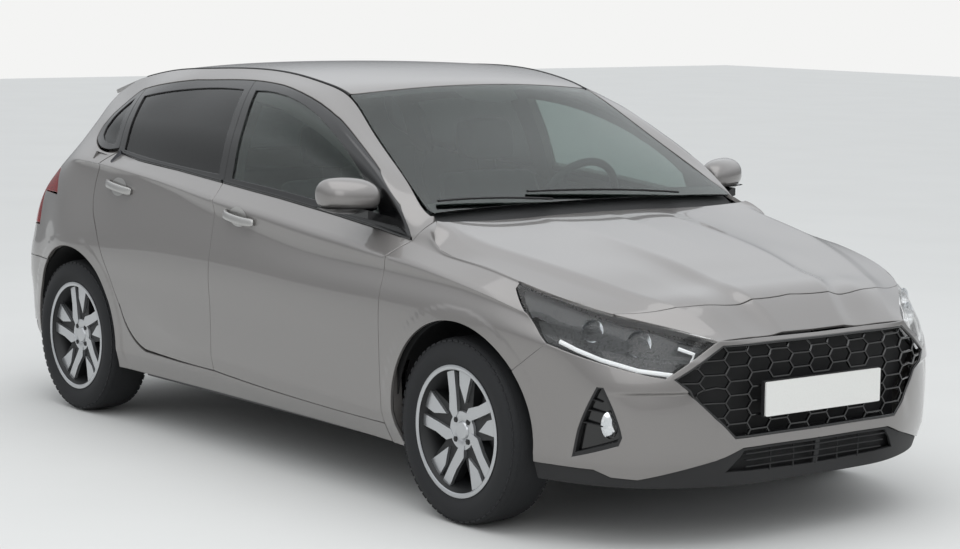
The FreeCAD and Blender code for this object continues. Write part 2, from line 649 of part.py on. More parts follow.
def knuckle():
    # Upright, hub, caliper and strut on the right; all of it turns about the steering axis.
    x = FRONT_AXLE_X
    face = -WHEEL_Y + HUB_FACE
    hub = Part.makeCylinder(52, -690.0 - face, V(x, face, TYRE_RADIUS), Y_AXIS)
    upright = block(x - 32, x + 32, -738, -690, 232, 470)
    foot = between(steer_point(226), steer_point(250), 20)
    strut = between((x, STRUT_TOP[1] + 4, 440), (x, STRUT_TOP[1], 725), 22)
    spring = between((x, STRUT_TOP[1] + 2, 634), (x, STRUT_TOP[1], 716), 60)
    clamp = block(x - 34, x + 34, -738, STRUT_TOP[1] + 22, 425, 480)
    caliper = block(x - 162, x - 95, -WHEEL_Y - 24, -WHEEL_Y + 62, 262, 359)
    slot = Part.makeCylinder(DISC_RADIUS + 5, 32, V(x, -WHEEL_Y - 22, TYRE_RADIUS), Y_AXIS)
    arm = block(x - 120, x, -WHEEL_Y + 32, -700, 300, 350)
    return joined([hub, upright, foot, strut, clamp, spring, caliper.cut(slot), arm])


def subframe():
    # Cross member, lower arms, side rails and strut towers that carry the front wheels.
    x = FRONT_AXLE_X
    beam = block(x - 110, x + 110, -470, 0, 175, 215)
    arm = block(x - 40, x + 40, -690, ENGINE[2] - 6, 188, 222)
    ball = between((x, BALL_JOINT[1], 188), (x, BALL_JOINT[1], 222), 26)
    link = block(x - 26, x + 26, BALL_JOINT[1], -680, 188, 222)
    rail = block(FIREWALL_X + FLOOR_SHEET, 1880, -470, -420, 330, 420)
    post = block(x - 90, x - 30, -470, -420, 200, 340)
    tower = between((x, STRUT_TOP[1], 733), (x, STRUT_TOP[1], 748), 85)
    brace = block(x - 60, x + 60, -575, -440, 733, 748)
    wall = block(x - 60, x + 60, -470, -440, 330, 748)
    cross = block(1850, 1880, -470, 0, 330, 420)
    return both_halves(joined([beam, arm, link, ball, rail, post, tower, brace, wall, cross]))


def drive_shaft():
    return between((FRONT_AXLE_X, ENGINE[2], TYRE_RADIUS), (FRONT_AXLE_X, -668, TYRE_RADIUS), 18)


def rear_axle():
    # Twist beam: cross tube, trailing arms, stub axles and spring seats.
    beam = block(-1190, -1120, -560, 0, 250, 310)
    arm = block(REAR_AXLE_X - 40, -1075, -600, -550, 250, 320)
    stub = Part.makeCylinder(45, WHEEL_Y - HUB_FACE - 580, V(REAR_AXLE_X, -WHEEL_Y + HUB_FACE, TYRE_RADIUS), Y_AXIS)
    bush = Part.makeCylinder(40, 60, V(-1075, -605, 270), Y_AXIS)
    spring = Part.makeCylinder(55, BOOT_Z - FLOOR_SHEET - 285 - SEAT_GAP, V(-1270, -500, 285), Z_AXIS)
    seat = block(-1330, -1190, -560, -440, 265, 285)
    return both_halves(joined([beam, arm, stub, bush, seat, spring]))


def exhaust():
    # Pipe down the tunnel to a cross silencer hung under the boot floor.
    pipe = between((900, 0, 216), (-1600, 0, 216), 25)
    silencer = between((-1660, -320, 290), (-1660, 160, 290), 74)
    tail = between((-1660, -260, 262), (-1880, -260, 262), 25)
    hanger = block(-1670, -1650, -200, -180, 350, BOOT_Z - FLOOR_SHEET - SEAT_GAP)
    riser = between((-1600, 0, 216), (-1660, 0, 260), 25)
    return joined([pipe, silencer, tail, hanger, riser])


def engine_block():
    x0, x1, y0, y1, z0, z1 = ENGINE
    return block(x0, x1, y0, y1, z0, z1)


def dashboard():
    profile = [(FIREWALL_X - 0.3, 620), (FIREWALL_X - 0.3, 925), ((660, 965), (470, 950)), ((410, 930), (400, 880)),
               (480, 800), (500, 640), (600, 560)]
    shape = side_prism(profile, 0.0, -DASH_HALF_WIDTH, 0.0)
    start = V(*STEERING_CENTRE).add(column_axis() * (WHEEL_HUB_LENGTH + SEAT_GAP))
    column = Part.makeCylinder(38, 260, start, column_axis())
    whole = both_halves(shape)
    return whole.fuse(column).removeSplitter()


def column_axis():
    # Unit vector down the steering column, towards the front of the car.
    tilt = math.radians(COLUMN_TILT)
    return V(math.cos(tilt), 0, -math.sin(tilt))


def steering_wheel():
    centre = V(*STEERING_CENTRE)
    axis = column_axis()
    ring = Part.makeTorus(STEERING_RADIUS, 15, centre, axis)
    hub = Part.makeCylinder(58, WHEEL_HUB_LENGTH, centre, axis)
    bars = []
    for turn in (0.0, 90.0, 180.0):
        bar = block(centre.x - 8, centre.x + 8, centre.y, centre.y + STEERING_RADIUS, centre.z - 22, centre.z + 22)
        bar.rotate(centre, V(1, 0, 0), -turn)
        bar.rotate(centre, Y_AXIS, COLUMN_TILT)
        bars.append(bar)
    return joined([ring, hub] + bars)


def front_seat(y):
    cushion = [(FRONT_SEAT_X + 470, 360), (FRONT_SEAT_X + 480, 470), ((FRONT_SEAT_X + 250, 500), (FRONT_SEAT_X, 450)),
               (FRONT_SEAT_X - 20, 340)]
    back = [(FRONT_SEAT_X + 20, 440), (FRONT_SEAT_X - 170, 1010), (FRONT_SEAT_X - 260, 1010), (FRONT_SEAT_X - 130, 360)]
    head = [(FRONT_SEAT_X - 165, 1050), (FRONT_SEAT_X - 195, 1225), (FRONT_SEAT_X - 285, 1225), (FRONT_SEAT_X - 265, 1050)]
    post = [(FRONT_SEAT_X - 200, 990), (FRONT_SEAT_X - 212, 1060), (FRONT_SEAT_X - 232, 1060), (FRONT_SEAT_X - 220, 990)]
    solids = [side_prism(cushion, 0.0, y - 255, y + 255), side_prism(back, 0.0, y - 250, y + 250),
              side_prism(head, 0.0, y - 130, y + 130), side_prism(post, 0.0, y - 60, y + 60),
              block(FRONT_SEAT_X + 20, FRONT_SEAT_X + 420, y - 220, y + 220, FLOOR_Z + FLOOR_SHEET + SEAT_GAP, 370)]
    return joined(solids)


def rear_bench():
    x = REAR_SEAT_X
    profile = [(x + 400, FLOOR_Z + FLOOR_SHEET + SEAT_GAP), (x + 420, 440), ((x + 200, 480), (x - 20, 440)), (x - 190, 1000),
               (x - 290, 1000), (x - 190, BOOT_Z + SEAT_GAP), (x - 150, 380), (x - 50, FLOOR_Z + FLOOR_SHEET + SEAT_GAP)]
    bench = side_prism(profile, 0.0, -600.0, 600.0)
    behind = block(x - 400, x - 125, -700, 700, 300, 720)
    bench = bench.cut([behind.cut(block(x - 401, x - 124, -545, 545, 299, 721)),
                       block(x - 400, x + 500, -111, 111, 100, FLOOR_Z + 120 + SEAT_GAP)])
    heads = []
    for y in (-330, 330):
        head = [(x - 190, 990), (x - 225, 1170), (x - 300, 1170), (x - 280, 990)]
        heads.append(side_prism(head, 0.0, y - 120.0, y + 120.0))
    return joined([bench] + heads)


def mirror():
    shell_body = block(560, 700, -975, -800, 960, 1095)
    edges = [e for e in shell_body.Edges]
    shell_body = shell_body.makeFillet(40, edges)
    foot = block(640, 720, -830, -700, 972, 1005)
    return shell_body.fuse(foot).removeSplitter().cut(form(-SEAT_GAP))


def plate():
    # A blank plate on a holder that stands on the grille's bars.
    holder = block(1960, LENGTH / 2 - PLATE_SHEET, -230, 230, 437, 517).cut(form(GRILLE_SET - SEAT_GAP))
    holder = holder.common(block(1960, 2100, -230, 0, 400, 600))
    sheet = block(LENGTH / 2 - PLATE_SHEET, LENGTH / 2, -PLATE_WIDTH / 2, PLATE_WIDTH / 2, 422, 422 + PLATE_HEIGHT)
    return joined([both_halves(holder), sheet])


def main():
    os.makedirs("parts", exist_ok=True)

    def keep(name, shape):
        shape.exportStep("parts/%s.step" % name)
        print("%-26s solids %d valid %s %.2f dm3" % (name, len(shape.Solids), shape.isValid(), shape.Volume / 1e6),
              flush=True)

    paired = {
        "body_side": side_body(), "door_front": door(FRONT_DOOR, FRONT_PANE), "door_front_glass": door_pane(FRONT_PANE),
        "door_rear": door(REAR_DOOR, REAR_PANE), "door_rear_glass": door_pane(REAR_PANE), "mirror": mirror(),
        "front_knuckle": knuckle(),
    }
    for name, shape in paired.items():
        keep(name + "_right", shape)
        keep(name + "_left", mirrored(shape))
    pairs = {"fenders": fender(), "quarter_glass": quarter_pane(), "head_lamps": head_lamp(), "tail_lamps": tail_lamp(),
             "fog_surrounds": fog_surround()}
    for name, shape in pairs.items():
        keep(name, Part.makeCompound([shape, mirrored(shape)]))
    for place, x in (("front", FRONT_AXLE_X), ("rear", REAR_AXLE_X)):
        centre = (x, WHEEL_Y, TYRE_RADIUS)
        wheel = {"tyre": tyre(centre), "rim": joined([rim(centre), brake_disc(centre)])}
        for name, shape in wheel.items():
            keep("%s_%s_left" % (name, place), shape)
            keep("%s_%s_right" % (name, place), mirrored(shape))
    keep("roof_panel", roof_panel())
    keep("windscreen", windscreen())
    keep("bonnet", bonnet())
    keep("front_bumper", front_bumper())
    keep("front_grille", front_grille())
    keep("lower_intake", lower_intake())
    keep("number_plate", plate())
    keep("rear_bumper", rear_bumper())
    keep("tailgate", tailgate())
    keep("tailgate_glass", tailgate_pane())
    keep("cowl_panel", cowl_panel())
    keep("floor_pan", floor_pan())
    liners = [front_arch_liner(), rear_arch_liner()]
    keep("arch_liners", Part.makeCompound(liners + [mirrored(s) for s in liners]))
    keep("front_subframe", subframe())
    keep("rear_axle", rear_axle())
    keep("exhaust", exhaust())
    keep("drive_shafts", Part.makeCompound([drive_shaft(), mirrored(drive_shaft())]))
    keep("engine_block", engine_block())
    keep("dashboard", dashboard())
    keep("steering_wheel", steering_wheel())
    keep("front_seats", Part.makeCompound([front_seat(-FRONT_SEAT_Y), front_seat(FRONT_SEAT_Y)]))
    keep("rear_bench", rear_bench())


main()
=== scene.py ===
# Five-door hatchback car: the looks of every piece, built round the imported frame.
# Metres in Blender; the shape tables below are in millimetres, right half, y as distance from the middle.
import math

import bmesh
import bpy
import numpy as np
from mathutils import Matrix, Vector, geometry


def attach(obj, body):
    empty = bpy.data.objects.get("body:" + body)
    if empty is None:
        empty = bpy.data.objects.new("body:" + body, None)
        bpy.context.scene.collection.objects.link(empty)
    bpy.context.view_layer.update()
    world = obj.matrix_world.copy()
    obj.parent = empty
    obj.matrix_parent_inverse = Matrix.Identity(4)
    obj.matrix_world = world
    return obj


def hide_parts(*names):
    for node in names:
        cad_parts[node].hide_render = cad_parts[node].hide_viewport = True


bl_info = {
    "name": "Hatchback Car",
    "version": (1, 0, 0),
    "blender": (4, 5, 0),
    "location": "View3D > Sidebar > Hatchback",
    "description": "Builds the visible pieces of a five-door hatchback car on its packed frame",
    "category": "Object",
}

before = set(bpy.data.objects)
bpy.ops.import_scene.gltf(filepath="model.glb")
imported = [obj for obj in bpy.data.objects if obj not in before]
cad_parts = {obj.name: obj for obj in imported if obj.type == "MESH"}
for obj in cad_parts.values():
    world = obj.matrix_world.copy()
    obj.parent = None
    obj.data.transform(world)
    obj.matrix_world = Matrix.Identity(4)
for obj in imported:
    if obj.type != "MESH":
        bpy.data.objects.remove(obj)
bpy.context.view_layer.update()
MM = 0.001
FRONT_AXLE = 1190.0
REAR_AXLE = -1390.0
WHEEL_Y = 770.0
HUB_Z = 310.5
GAP = 3.0
# Where the body's lines reach the car's middle line, counted along them round the nose and the tail
NOSE_MIDDLE = 2600.0
TAIL_MIDDLE = -2710.0
MIDDLES = (NOSE_MIDDLE, TAIL_MIDDLE)
# Wheel arches seen from the side: x and z of the centre, radius
FRONT_ARCH = (1197.0, 335.0, 343.0)
REAR_ARCH = (-1390.0, 330.0, 352.0)
# How much longer than its chord a stretch of the skin may start out
STIFF = 1.35


def natural_slopes(knots, values):
    """Slopes of the natural cubic through the values, one row of values for each knot."""
    h = np.diff(knots)
    n = len(knots)
    matrix = np.zeros((n, n))
    right = np.zeros((n, values.shape[1]))
    rise = np.diff(values, axis=0) / h[:, None]
    matrix[0, 0:2] = (2.0, 1.0)
    right[0] = 3.0 * rise[0]
    matrix[-1, -2:] = (1.0, 2.0)
    right[-1] = 3.0 * rise[-1]
    for i in range(1, n - 1):
        matrix[i, i - 1] = h[i]
        matrix[i, i] = 2.0 * (h[i - 1] + h[i])
        matrix[i, i + 1] = h[i - 1]
        right[i] = 3.0 * (h[i] * rise[i - 1] + h[i - 1] * rise[i])
    return np.linalg.solve(matrix, right)


def hermite(t, h, p0, p1, m0, m1):
    """The cubic through two values with two slopes, at a share t of a stretch h."""
    t = t[:, None]
    h = np.asarray(h).reshape(-1, 1)
    return ((2 * t**3 - 3 * t**2 + 1) * p0 + (t**3 - 2 * t**2 + t) * h * m0
            + (3 * t**2 - 2 * t**3) * p1 + (t**3 - t**2) * h * m1)


def limited(slopes, reach):
    """The same slopes, none of them longer than its reach."""
    length = np.linalg.norm(slopes, axis=2, keepdims=True)
    return slopes * np.minimum(1, reach / np.maximum(length, 1e-9))


class Line:
    """A smooth line through measured points (x, y, z), or (u, x, y, z) where it runs round an end."""

    def __init__(self, points):
        rows = sorted((p[0],) + tuple(p[-3:]) for p in points)
        rows = np.array(rows, float)
        self.knots = rows[:, 0]
        self.points = rows[:, 1:]
        self.slopes = natural_slopes(self.knots, self.points)

    def at(self, u):
        u = np.asarray(u, float)
        i = np.clip(np.searchsorted(self.knots, u) - 1, 0, len(self.knots) - 2)
        h = self.knots[i + 1] - self.knots[i]
        t = (u - self.knots[i]) / h
        inside = hermite(np.clip(t, 0, 1), h, self.points[i], self.points[i + 1], self.slopes[i],
                         self.slopes[i + 1])
        past = np.where(t < 0, t, np.where(t > 1, t - 1, 0.0)) * h
        end = np.where((t < 0)[:, None], self.slopes[i], self.slopes[i + 1])
        return inside + past[:, None] * end


class Skin:
    """A surface laid through lines that run along the car; v counts millimetres across them."""

    def __init__(self, lines, levels, creases=(), dents=(), facing=1.0):
        self.lines = lines
        self.facing = facing
        self.levels = np.array(levels, float)
        self.creases = dict(creases)
        self.dents = list(dents)
        self.sample = None

    def base(self, u, v):
        u = np.asarray(u, float)
        v = np.asarray(v, float)
        p = np.stack([line.at(u) for line in self.lines])
        h = np.diff(self.levels)
        rise = np.diff(p, axis=0) / h[:, None, None]
        below = np.concatenate([rise[:1], rise])
        above = np.concatenate([rise, rise[-1:]])
        wb = np.concatenate([[1.0], h])
        wa = np.concatenate([h, [1.0]])
        mean = (below * wa[:, None, None] + above * wb[:, None, None]) / (wa + wb)[:, None, None]
        mean[0] = rise[0]
        mean[-1] = rise[-1]
        low = mean.copy()
        high = mean.copy()
        for row, sharp in self.creases.items():
            share = np.asarray(sharp(u))[:, None]
            low[row] = mean[row] + share * (below[row] - mean[row])
            high[row] = mean[row] + share * (above[row] - mean[row])
        # Each slope keeps its direction, and is no longer than its own stretch can take without a fold
        reach = STIFF * np.linalg.norm(rise, axis=2, keepdims=True)
        high[:-1] = limited(high[:-1], reach)
        low[1:] = limited(low[1:], reach)
        i = np.clip(np.searchsorted(self.levels, v, side="right") - 1, 0, len(self.levels) - 2)
        n = np.arange(len(u))
        step = h[i]
        t = (v - self.levels[i]) / step
        inside = hermite(np.clip(t, 0, 1), step, p[i, n], p[i + 1, n], high[i, n], low[i + 1, n])
        past = np.where(t < 0, t, np.where(t > 1, t - 1, 0.0)) * step
        end = np.where((t < 0)[:, None], high[i, n], low[i + 1, n])
        return inside + past[:, None] * end

    def at(self, u, v):
        p = self.base(u, v)
        for dent in self.dents:
            p = dent(p)
        return p

    def normal(self, u, v, d=1.2):
        u = np.asarray(u, float)
        v = np.asarray(v, float)
        du = self.at(u + d, v) - self.at(u - d, v)
        dv = self.at(u, v + d) - self.at(u, v - d)
        n = np.cross(du, dv) * self.facing
        n /= np.maximum(np.linalg.norm(n, axis=1), 1e-9)[:, None]
        return n

    def find(self, points, axes, span=None):
        """The (u, v) whose place matches the given coordinates, seen along the axis that is left out."""
        target = np.array(points, float)
        if self.sample is None:
            us = np.arange(self.lines[0].knots[0], self.lines[0].knots[-1] + 1, 12.0)
            vs = np.arange(self.levels[0] - 30, self.levels[-1] + 31, 10.0)
            uu, vv = np.meshgrid(us, vs)
            self.sample = (uu.ravel(), vv.ravel(), self.at(uu.ravel(), vv.ravel()))
        su, sv, sp = self.sample
        if span:
            keep = (su >= span[0]) & (su <= span[1])
            su, sv, sp = su[keep], sv[keep], sp[keep]
        flat = sp[:, axes]
        near = [int(np.argmin(((flat - q) ** 2).sum(1))) for q in target]
        u = su[near].copy()
        v = sv[near].copy()
        for _ in range(6):
            p = self.at(u, v)[:, axes]
            ju = self.at(u + 1, v)[:, axes] - p
            jv = self.at(u, v + 1)[:, axes] - p
            gap = target - p
            a = (ju * ju).sum(1) + 1e-6
            b = (ju * jv).sum(1)
            c = (jv * jv).sum(1) + 1e-6
            e = (ju * gap).sum(1)
            f = (jv * gap).sum(1)
            det = np.maximum(a * c - b * b, 1e-6)
            u = u + np.clip((e * c - f * b) / det, -25, 25)
            v = v + np.clip((a * f - b * e) / det, -25, 25)
        return np.stack([u, v], 1)


def arc(a, via, b, count=14):
    """Points on the circle through three points, both ends included."""
    a, via, b = [np.array(p, float) for p in (a, via, b)]
    d = 2 * ((via[0] - a[0]) * (b[1] - a[1]) - (b[0] - a[0]) * (via[1] - a[1]))
    if abs(d) < 1e-6:
        return [tuple(a + (b - a) * k / count) for k in range(count + 1)]
    q = [p[0] ** 2 + p[1] ** 2 for p in (a, via, b)]
    cx = ((q[1] - q[0]) * (b[1] - a[1]) - (q[2] - q[0]) * (via[1] - a[1])) / d
    cy = ((via[0] - a[0]) * (q[2] - q[0]) - (b[0] - a[0]) * (q[1] - q[0])) / d
    t = [math.atan2(p[1] - cy, p[0] - cx) for p in (a, via, b)]
    turn = (t[2] - t[0]) % (2 * math.pi)
    if (t[1] - t[0]) % (2 * math.pi) > turn:
        turn -= 2 * math.pi
    r = math.hypot(a[0] - cx, a[1] - cy)
    return [(cx + r * math.cos(t[0] + turn * k / count), cy + r * math.sin(t[0] + turn * k / count))
            for k in range(count + 1)]


def outline(path):
    """A closed outline from corners and (via, end) arcs."""
    points = [path[0]]
    for step in path[1:]:
        if isinstance(step[0], tuple):
            points += arc(points[-1], step[0], step[1])[1:]
        else:
            points.append(step)
    return points


def dense(points, step=9.0, closed=True):
    """The same line with points no further apart than the step."""
    points = [np.array(p, float) for p in points]
    ends = points[1:] + points[:1] if closed else points[1:]
    out = []
    for a, b in zip(points, ends):
        count = max(1, int(np.ceil(np.linalg.norm(b - a) / step)))
        out += [a + (b - a) * k / count for k in range(count)]
    if not closed:
        out.append(points[-1])
    keep = [out[0]]
    for p in out[1:]:
        if np.linalg.norm(p - keep[-1]) > 0.8:
            keep.append(p)
    if closed and np.linalg.norm(keep[0] - keep[-1]) < 0.8:
        keep.pop()
    return np.array(keep)


def area(loop):
    """The signed area inside a closed line, positive where it runs anticlockwise."""
    x, y = loop[:, 0], loop[:, 1]
    return 0.5 * float(np.sum(x * np.roll(y, -1) - y * np.roll(x, -1)))


def shrink(loop, by):
    """Moves a closed line inward, or outward if negative; points on the car's middle line stay on it."""
    loop = loop if area(loop) > 0 else loop[::-1]
    loop = loop[np.linalg.norm(loop - np.roll(loop, 1, axis=0), axis=1) > 0.05]
    before = loop - np.roll(loop, 1, axis=0)
    after = np.roll(loop, -1, axis=0) - loop
    before /= np.linalg.norm(before, axis=1)[:, None]
    after /= np.linalg.norm(after, axis=1)[:, None]
    n = np.stack([-(before + after)[:, 1], (before + after)[:, 0]], 1)
    length = np.maximum(np.linalg.norm(n, axis=1), 1e-6)
    n /= length[:, None]
    miter = np.minimum(2.0 / np.maximum(length, 0.9), 1.6)
    moved = loop + n * (by * miter)[:, None]
    for middle in MIDDLES:
        held = np.abs(loop[:, 0] - middle) < 0.5
        moved[held, 0] = middle
    return moved


def inside(points, loop):
    """Which of the points lie inside a closed line."""
    x, y = points[:, 0][:, None], points[:, 1][:, None]
    x0, y0 = loop[:, 0][None], loop[:, 1][None]
    x1, y1 = np.roll(loop[:, 0], -1)[None], np.roll(loop[:, 1], -1)[None]
    cross = ((y0 > y) != (y1 > y)) & (x < (x1 - x0) * (y - y0) / np.where(y1 == y0, 1e-12, y1 - y0) + x0)
    return cross.sum(1) % 2 == 1


def clear_of(points, loop, distance):
    """Which of the points lie further from a closed line than the distance."""
    a = loop[None]
    b = np.roll(loop, -1, axis=0)[None]
    p = points[:, None]
    ab = b - a
    t = np.clip(((p - a) * ab).sum(2) / np.maximum((ab * ab).sum(2), 1e-9), 0, 1)
    d = np.linalg.norm(p - a - t[:, :, None] * ab, axis=2)
    return d.min(1) > distance


class Form:
    """Collects faces, with a normal for each point where the surface gives one."""

    def __init__(self):
        self.points = []
        self.normals = []
        self.faces = []
        self.finish = []

    def add(self, points, faces, normals=None, finish=0):
        start = len(self.points)
        self.points += [tuple(p) for p in points]
        if normals is None:
            normals = [(0.0, 0.0, 0.0)] * len(points)
        self.normals += [tuple(n) for n in normals]
        self.faces += [tuple(start + i for i in f) for f in faces]
        self.finish += [finish] * len(faces)
        return self

    def join(self, other):
        start = len(self.points)
        self.points += other.points
        self.normals += other.normals
        self.faces += [tuple(start + i for i in f) for f in other.faces]
        self.finish += other.finish
        return self

    def mirrored(self):
        other = Form()
        other.points = [(x, -y, z) for x, y, z in self.points]
        other.normals = [(x, -y, z) for x, y, z in self.normals]
        other.faces = [tuple(reversed(f)) for f in self.faces]
        other.finish = list(self.finish)
        return other

    def moved(self, matrix):
        other = Form()
        turn = matrix.to_3x3()
        other.points = [tuple(matrix @ Vector(p)) for p in self.points]
        other.normals = [tuple(turn @ Vector(n)) for n in self.normals]
        other.faces = list(self.faces)
        other.finish = list(self.finish)
        return other


def triangulated(loop, holes, fill):
    """Triangles between a closed line and its holes through the filling points."""
    verts = [Vector(p) for p in loop]
    edges = [(i, (i + 1) % len(loop)) for i in range(len(loop))]
    for hole in holes:
        start = len(verts)
        verts += [Vector(p) for p in hole]
        edges += [(start + i, start + (i + 1) % len(hole)) for i in range(len(hole))]
    verts += [Vector(p) for p in fill]
    out = geometry.delaunay_2d_cdt(verts, edges, [], 0, 1e-4)
    points = np.array([tuple(p) for p in out[0]])
    faces = np.array([tuple(f) for f in out[2]])
    place = {}
    for k, sources in enumerate(out[3]):
        for s in sources:
            place[s] = k
    middle = points[faces].mean(1)
    keep = inside(middle, loop)
    for hole in holes:
        keep &= ~inside(middle, hole)
    faces = faces[keep]
    a, b, c = points[faces[:, 0]], points[faces[:, 1]], points[faces[:, 2]]
    turn = (b[:, 0] - a[:, 0]) * (c[:, 1] - a[:, 1]) - (b[:, 1] - a[:, 1]) * (c[:, 0] - a[:, 0])
    faces = faces[np.abs(turn) > 1e-6]
    turn = turn[np.abs(turn) > 1e-6]
    faces[turn < 0] = faces[turn < 0][:, ::-1]
    return points, faces, place


def panel(skin, loop, holes=(), step=16.0, start=0.0, depth=12.0, radius=2.2, closed=True, finish=0,
          rim_finish=None, rows=True):
    """A pressed panel cut from a skin along an outline in (u, v), with rolled edge, flange and back."""
    loop = dense(loop, step * 0.6)
    loop = loop if area(loop) > 0 else loop[::-1]
    holes = [dense(h, step * 0.6) for h in holes]
    holes = [h if area(h) < 0 else h[::-1] for h in holes]
    lo = loop.min(0)
    hi = loop.max(0)
    us = np.arange(np.ceil(lo[0] / step) * step, hi[0], step)
    vs = []
    levels = skin.levels if rows else np.array([lo[1], hi[1]])
    bands = sorted(set([lo[1]] + [v for v in levels if lo[1] < v < hi[1]] + [hi[1]]))
    for a, b in zip(bands, bands[1:]):
        count = max(1, int(round((b - a) / step)))
        vs += [a + (b - a) * k / count for k in range(count)]
    uu, vv = np.meshgrid(us, np.array(vs))
    grid = np.stack([uu.ravel(), vv.ravel()], 1)
    grid = grid[inside(grid, loop)]
    for part in [loop] + holes:
        if len(grid):
            grid = grid[clear_of(grid, part, step * 0.33)]
    for hole in holes:
        if len(grid):
            grid = grid[~inside(grid, hole)]
    points, faces, place = triangulated(loop, holes, grid)
    flip = np.array([1.0, -1.0, 1.0])
    p3 = skin.at(points[:, 0], points[:, 1])
    n3 = skin.normal(points[:, 0], points[:, 1])
    p3 = (p3 - n3 * start) * flip
    n3 = n3 * flip
    faces = faces[:, ::-1]
    face_n = np.cross(p3[faces[:, 1]] - p3[faces[:, 0]], p3[faces[:, 2]] - p3[faces[:, 0]])
    if (face_n * n3[faces[:, 0]]).sum() < 0:
        faces = faces[:, ::-1]
    form = Form()
    form.add(p3, faces, n3, finish)
    if rim_finish is None:
        rim_finish = finish
    if closed:
        form.add(p3 - n3 * depth, faces[:, ::-1], -n3, rim_finish)
    begin = 0
    for part in [loop] + holes:
        count = len(part)
        ids = [place[begin + k] for k in range(count)]
        begin += count
        p = p3[ids]
        n = n3[ids]
        along = np.roll(p, -1, axis=0) - np.roll(p, 1, axis=0)
        along /= np.maximum(np.linalg.norm(along, axis=1), 1e-9)[:, None]
        out = np.cross(along, n)
        out /= np.maximum(np.linalg.norm(out, axis=1), 1e-9)[:, None]
        inner = skin.at(part[:, 0], part[:, 1])
        probe = shrink(part, 2.0 if part is loop else -2.0)
        if area(part) < 0:
            probe = probe[::-1]
        inward = (skin.at(probe[:, 0], probe[:, 1]) - inner) * flip
        if (inward * out).sum() > 0:
            out = -out
        rings = [(p, n)]
        for angle in (30.0, 60.0, 90.0):
            a = math.radians(angle)
            rings.append((p + out * radius * math.sin(a) - n * radius * (1 - math.cos(a)),
                          n * math.cos(a) + out * math.sin(a)))
        edge = rings[-1][0]
        rings.append((edge - n * max(depth - radius, 0.1), out))
        if closed:
            rings.append((p - n * depth, out))
        skip = np.abs(p[:, 1]) < 0.6
        for (pa, na), (pb, nb) in zip(rings, rings[1:]):
            quads = []
            for k in range(count):
                m = (k + 1) % count
                if skip[k] and skip[m]:
                    continue
                quads.append((k, m, count + m, count + k))
            pts = np.concatenate([pa, pb])
            nrm = np.concatenate([na, nb])
            if quads:
                q = quads[len(quads) // 2]
                fn = np.cross(pts[q[1]] - pts[q[0]], pts[q[2]] - pts[q[0]])
                if np.dot(fn, nrm[q[0]] + nrm[q[3]]) < 0:
                    quads = [tuple(reversed(f)) for f in quads]
            form.add(pts, quads, nrm, rim_finish)
    return form


def tube(points, radius, sides=8, closed=False, flat=None):
    """A moulding swept along points; the section is round, or (half width, half height)."""
    points = [Vector(p) for p in points]
    form = Form()
    count = len(points)
    rings = []
    for i, p in enumerate(points):
        a = points[(i - 1) % count] if closed or i else points[0]
        b = points[(i + 1) % count] if closed or i < count - 1 else points[-1]
        along = (b - a).normalized()
        up = Vector(flat[2]) if flat else (Vector((0, 0, 1)) if abs(along.z) < 0.9 else Vector((1, 0, 0)))
        side = along.cross(up).normalized()
        up = side.cross(along).normalized()
        ring = []
        for k in range(sides):
            t = 2 * math.pi * (k + 0.5) / sides
            if flat:
                c, s = math.cos(t), math.sin(t)
                grow = 1.0 / max(abs(c), abs(s)) ** 0.75
                ring.append(p + side * c * grow * flat[0] + up * s * grow * flat[1])
            else:
                ring.append(p + (side * math.cos(t) + up * math.sin(t)) * radius)
        rings.append(ring)
    verts = [v for ring in rings for v in ring]
    faces = []
    for i in range(count if closed else count - 1):
        j = (i + 1) % count
        for k in range(sides):
            m = (k + 1) % sides
            faces.append((i * sides + k, i * sides + m, j * sides + m, j * sides + k))
    if not closed:
        faces.append(tuple(range(sides)))
        faces.append(tuple(reversed(range((count - 1) * sides, count * sides))))
    form.add(verts, faces)
    return form


def prism(outline_points, lift):
    """A flat outline given a thickness; lift(x, y, t) places a point, t from 0 to 1 through it."""
    loop = np.array(outline_points, float)
    loop = loop if area(loop) > 0 else loop[::-1]
    points, faces, place = triangulated(loop, [], [])
    form = Form()
    top = [lift(p[0], p[1], 0.0) for p in points]
    low = [lift(p[0], p[1], 1.0) for p in points]
    form.add(top, [tuple(f) for f in faces])
    form.add(low, [tuple(reversed(f)) for f in faces])
    ids = [place[k] for k in range(len(loop))]
    n = len(ids)
    form.add([top[i] for i in ids] + [low[i] for i in ids],
             [(k, n + k, n + (k + 1) % n, (k + 1) % n) for k in range(n)])
    return form


def spun(profile, steps=96):
    """A (y, r) profile turned about the Y axis, in the order that faces outward."""
    points = []
    for k in range(steps):
        a = 2 * math.pi * k / steps
        points += [(r * math.cos(a), y, r * math.sin(a)) for y, r in profile]
    m = len(profile)
    faces = []
    for k in range(steps):
        j = (k + 1) % steps
        for i in range(m - 1):
            faces.append((k * m + i, k * m + i + 1, j * m + i + 1, j * m + i))
    form = Form()
    form.add(points, faces)
    return form


def smoothstep(x, a, b):
    """Rises smoothly from 0 to 1 between a and b."""
    t = np.clip((x - a) / (b - a), 0.0, 1.0)
    return t * t * (3 - 2 * t)


# Finishes: each starts from the real material and how its surface was made


def linear(code):
    """An sRGB hex colour as the linear colour that Blender's sockets take."""
    parts = [int(code[i:i + 2], 16) / 255.0 for i in (1, 3, 5)]
    return tuple(c / 12.92 if c <= 0.04045 else ((c + 0.055) / 1.055) ** 2.4 for c in parts) + (1.0,)


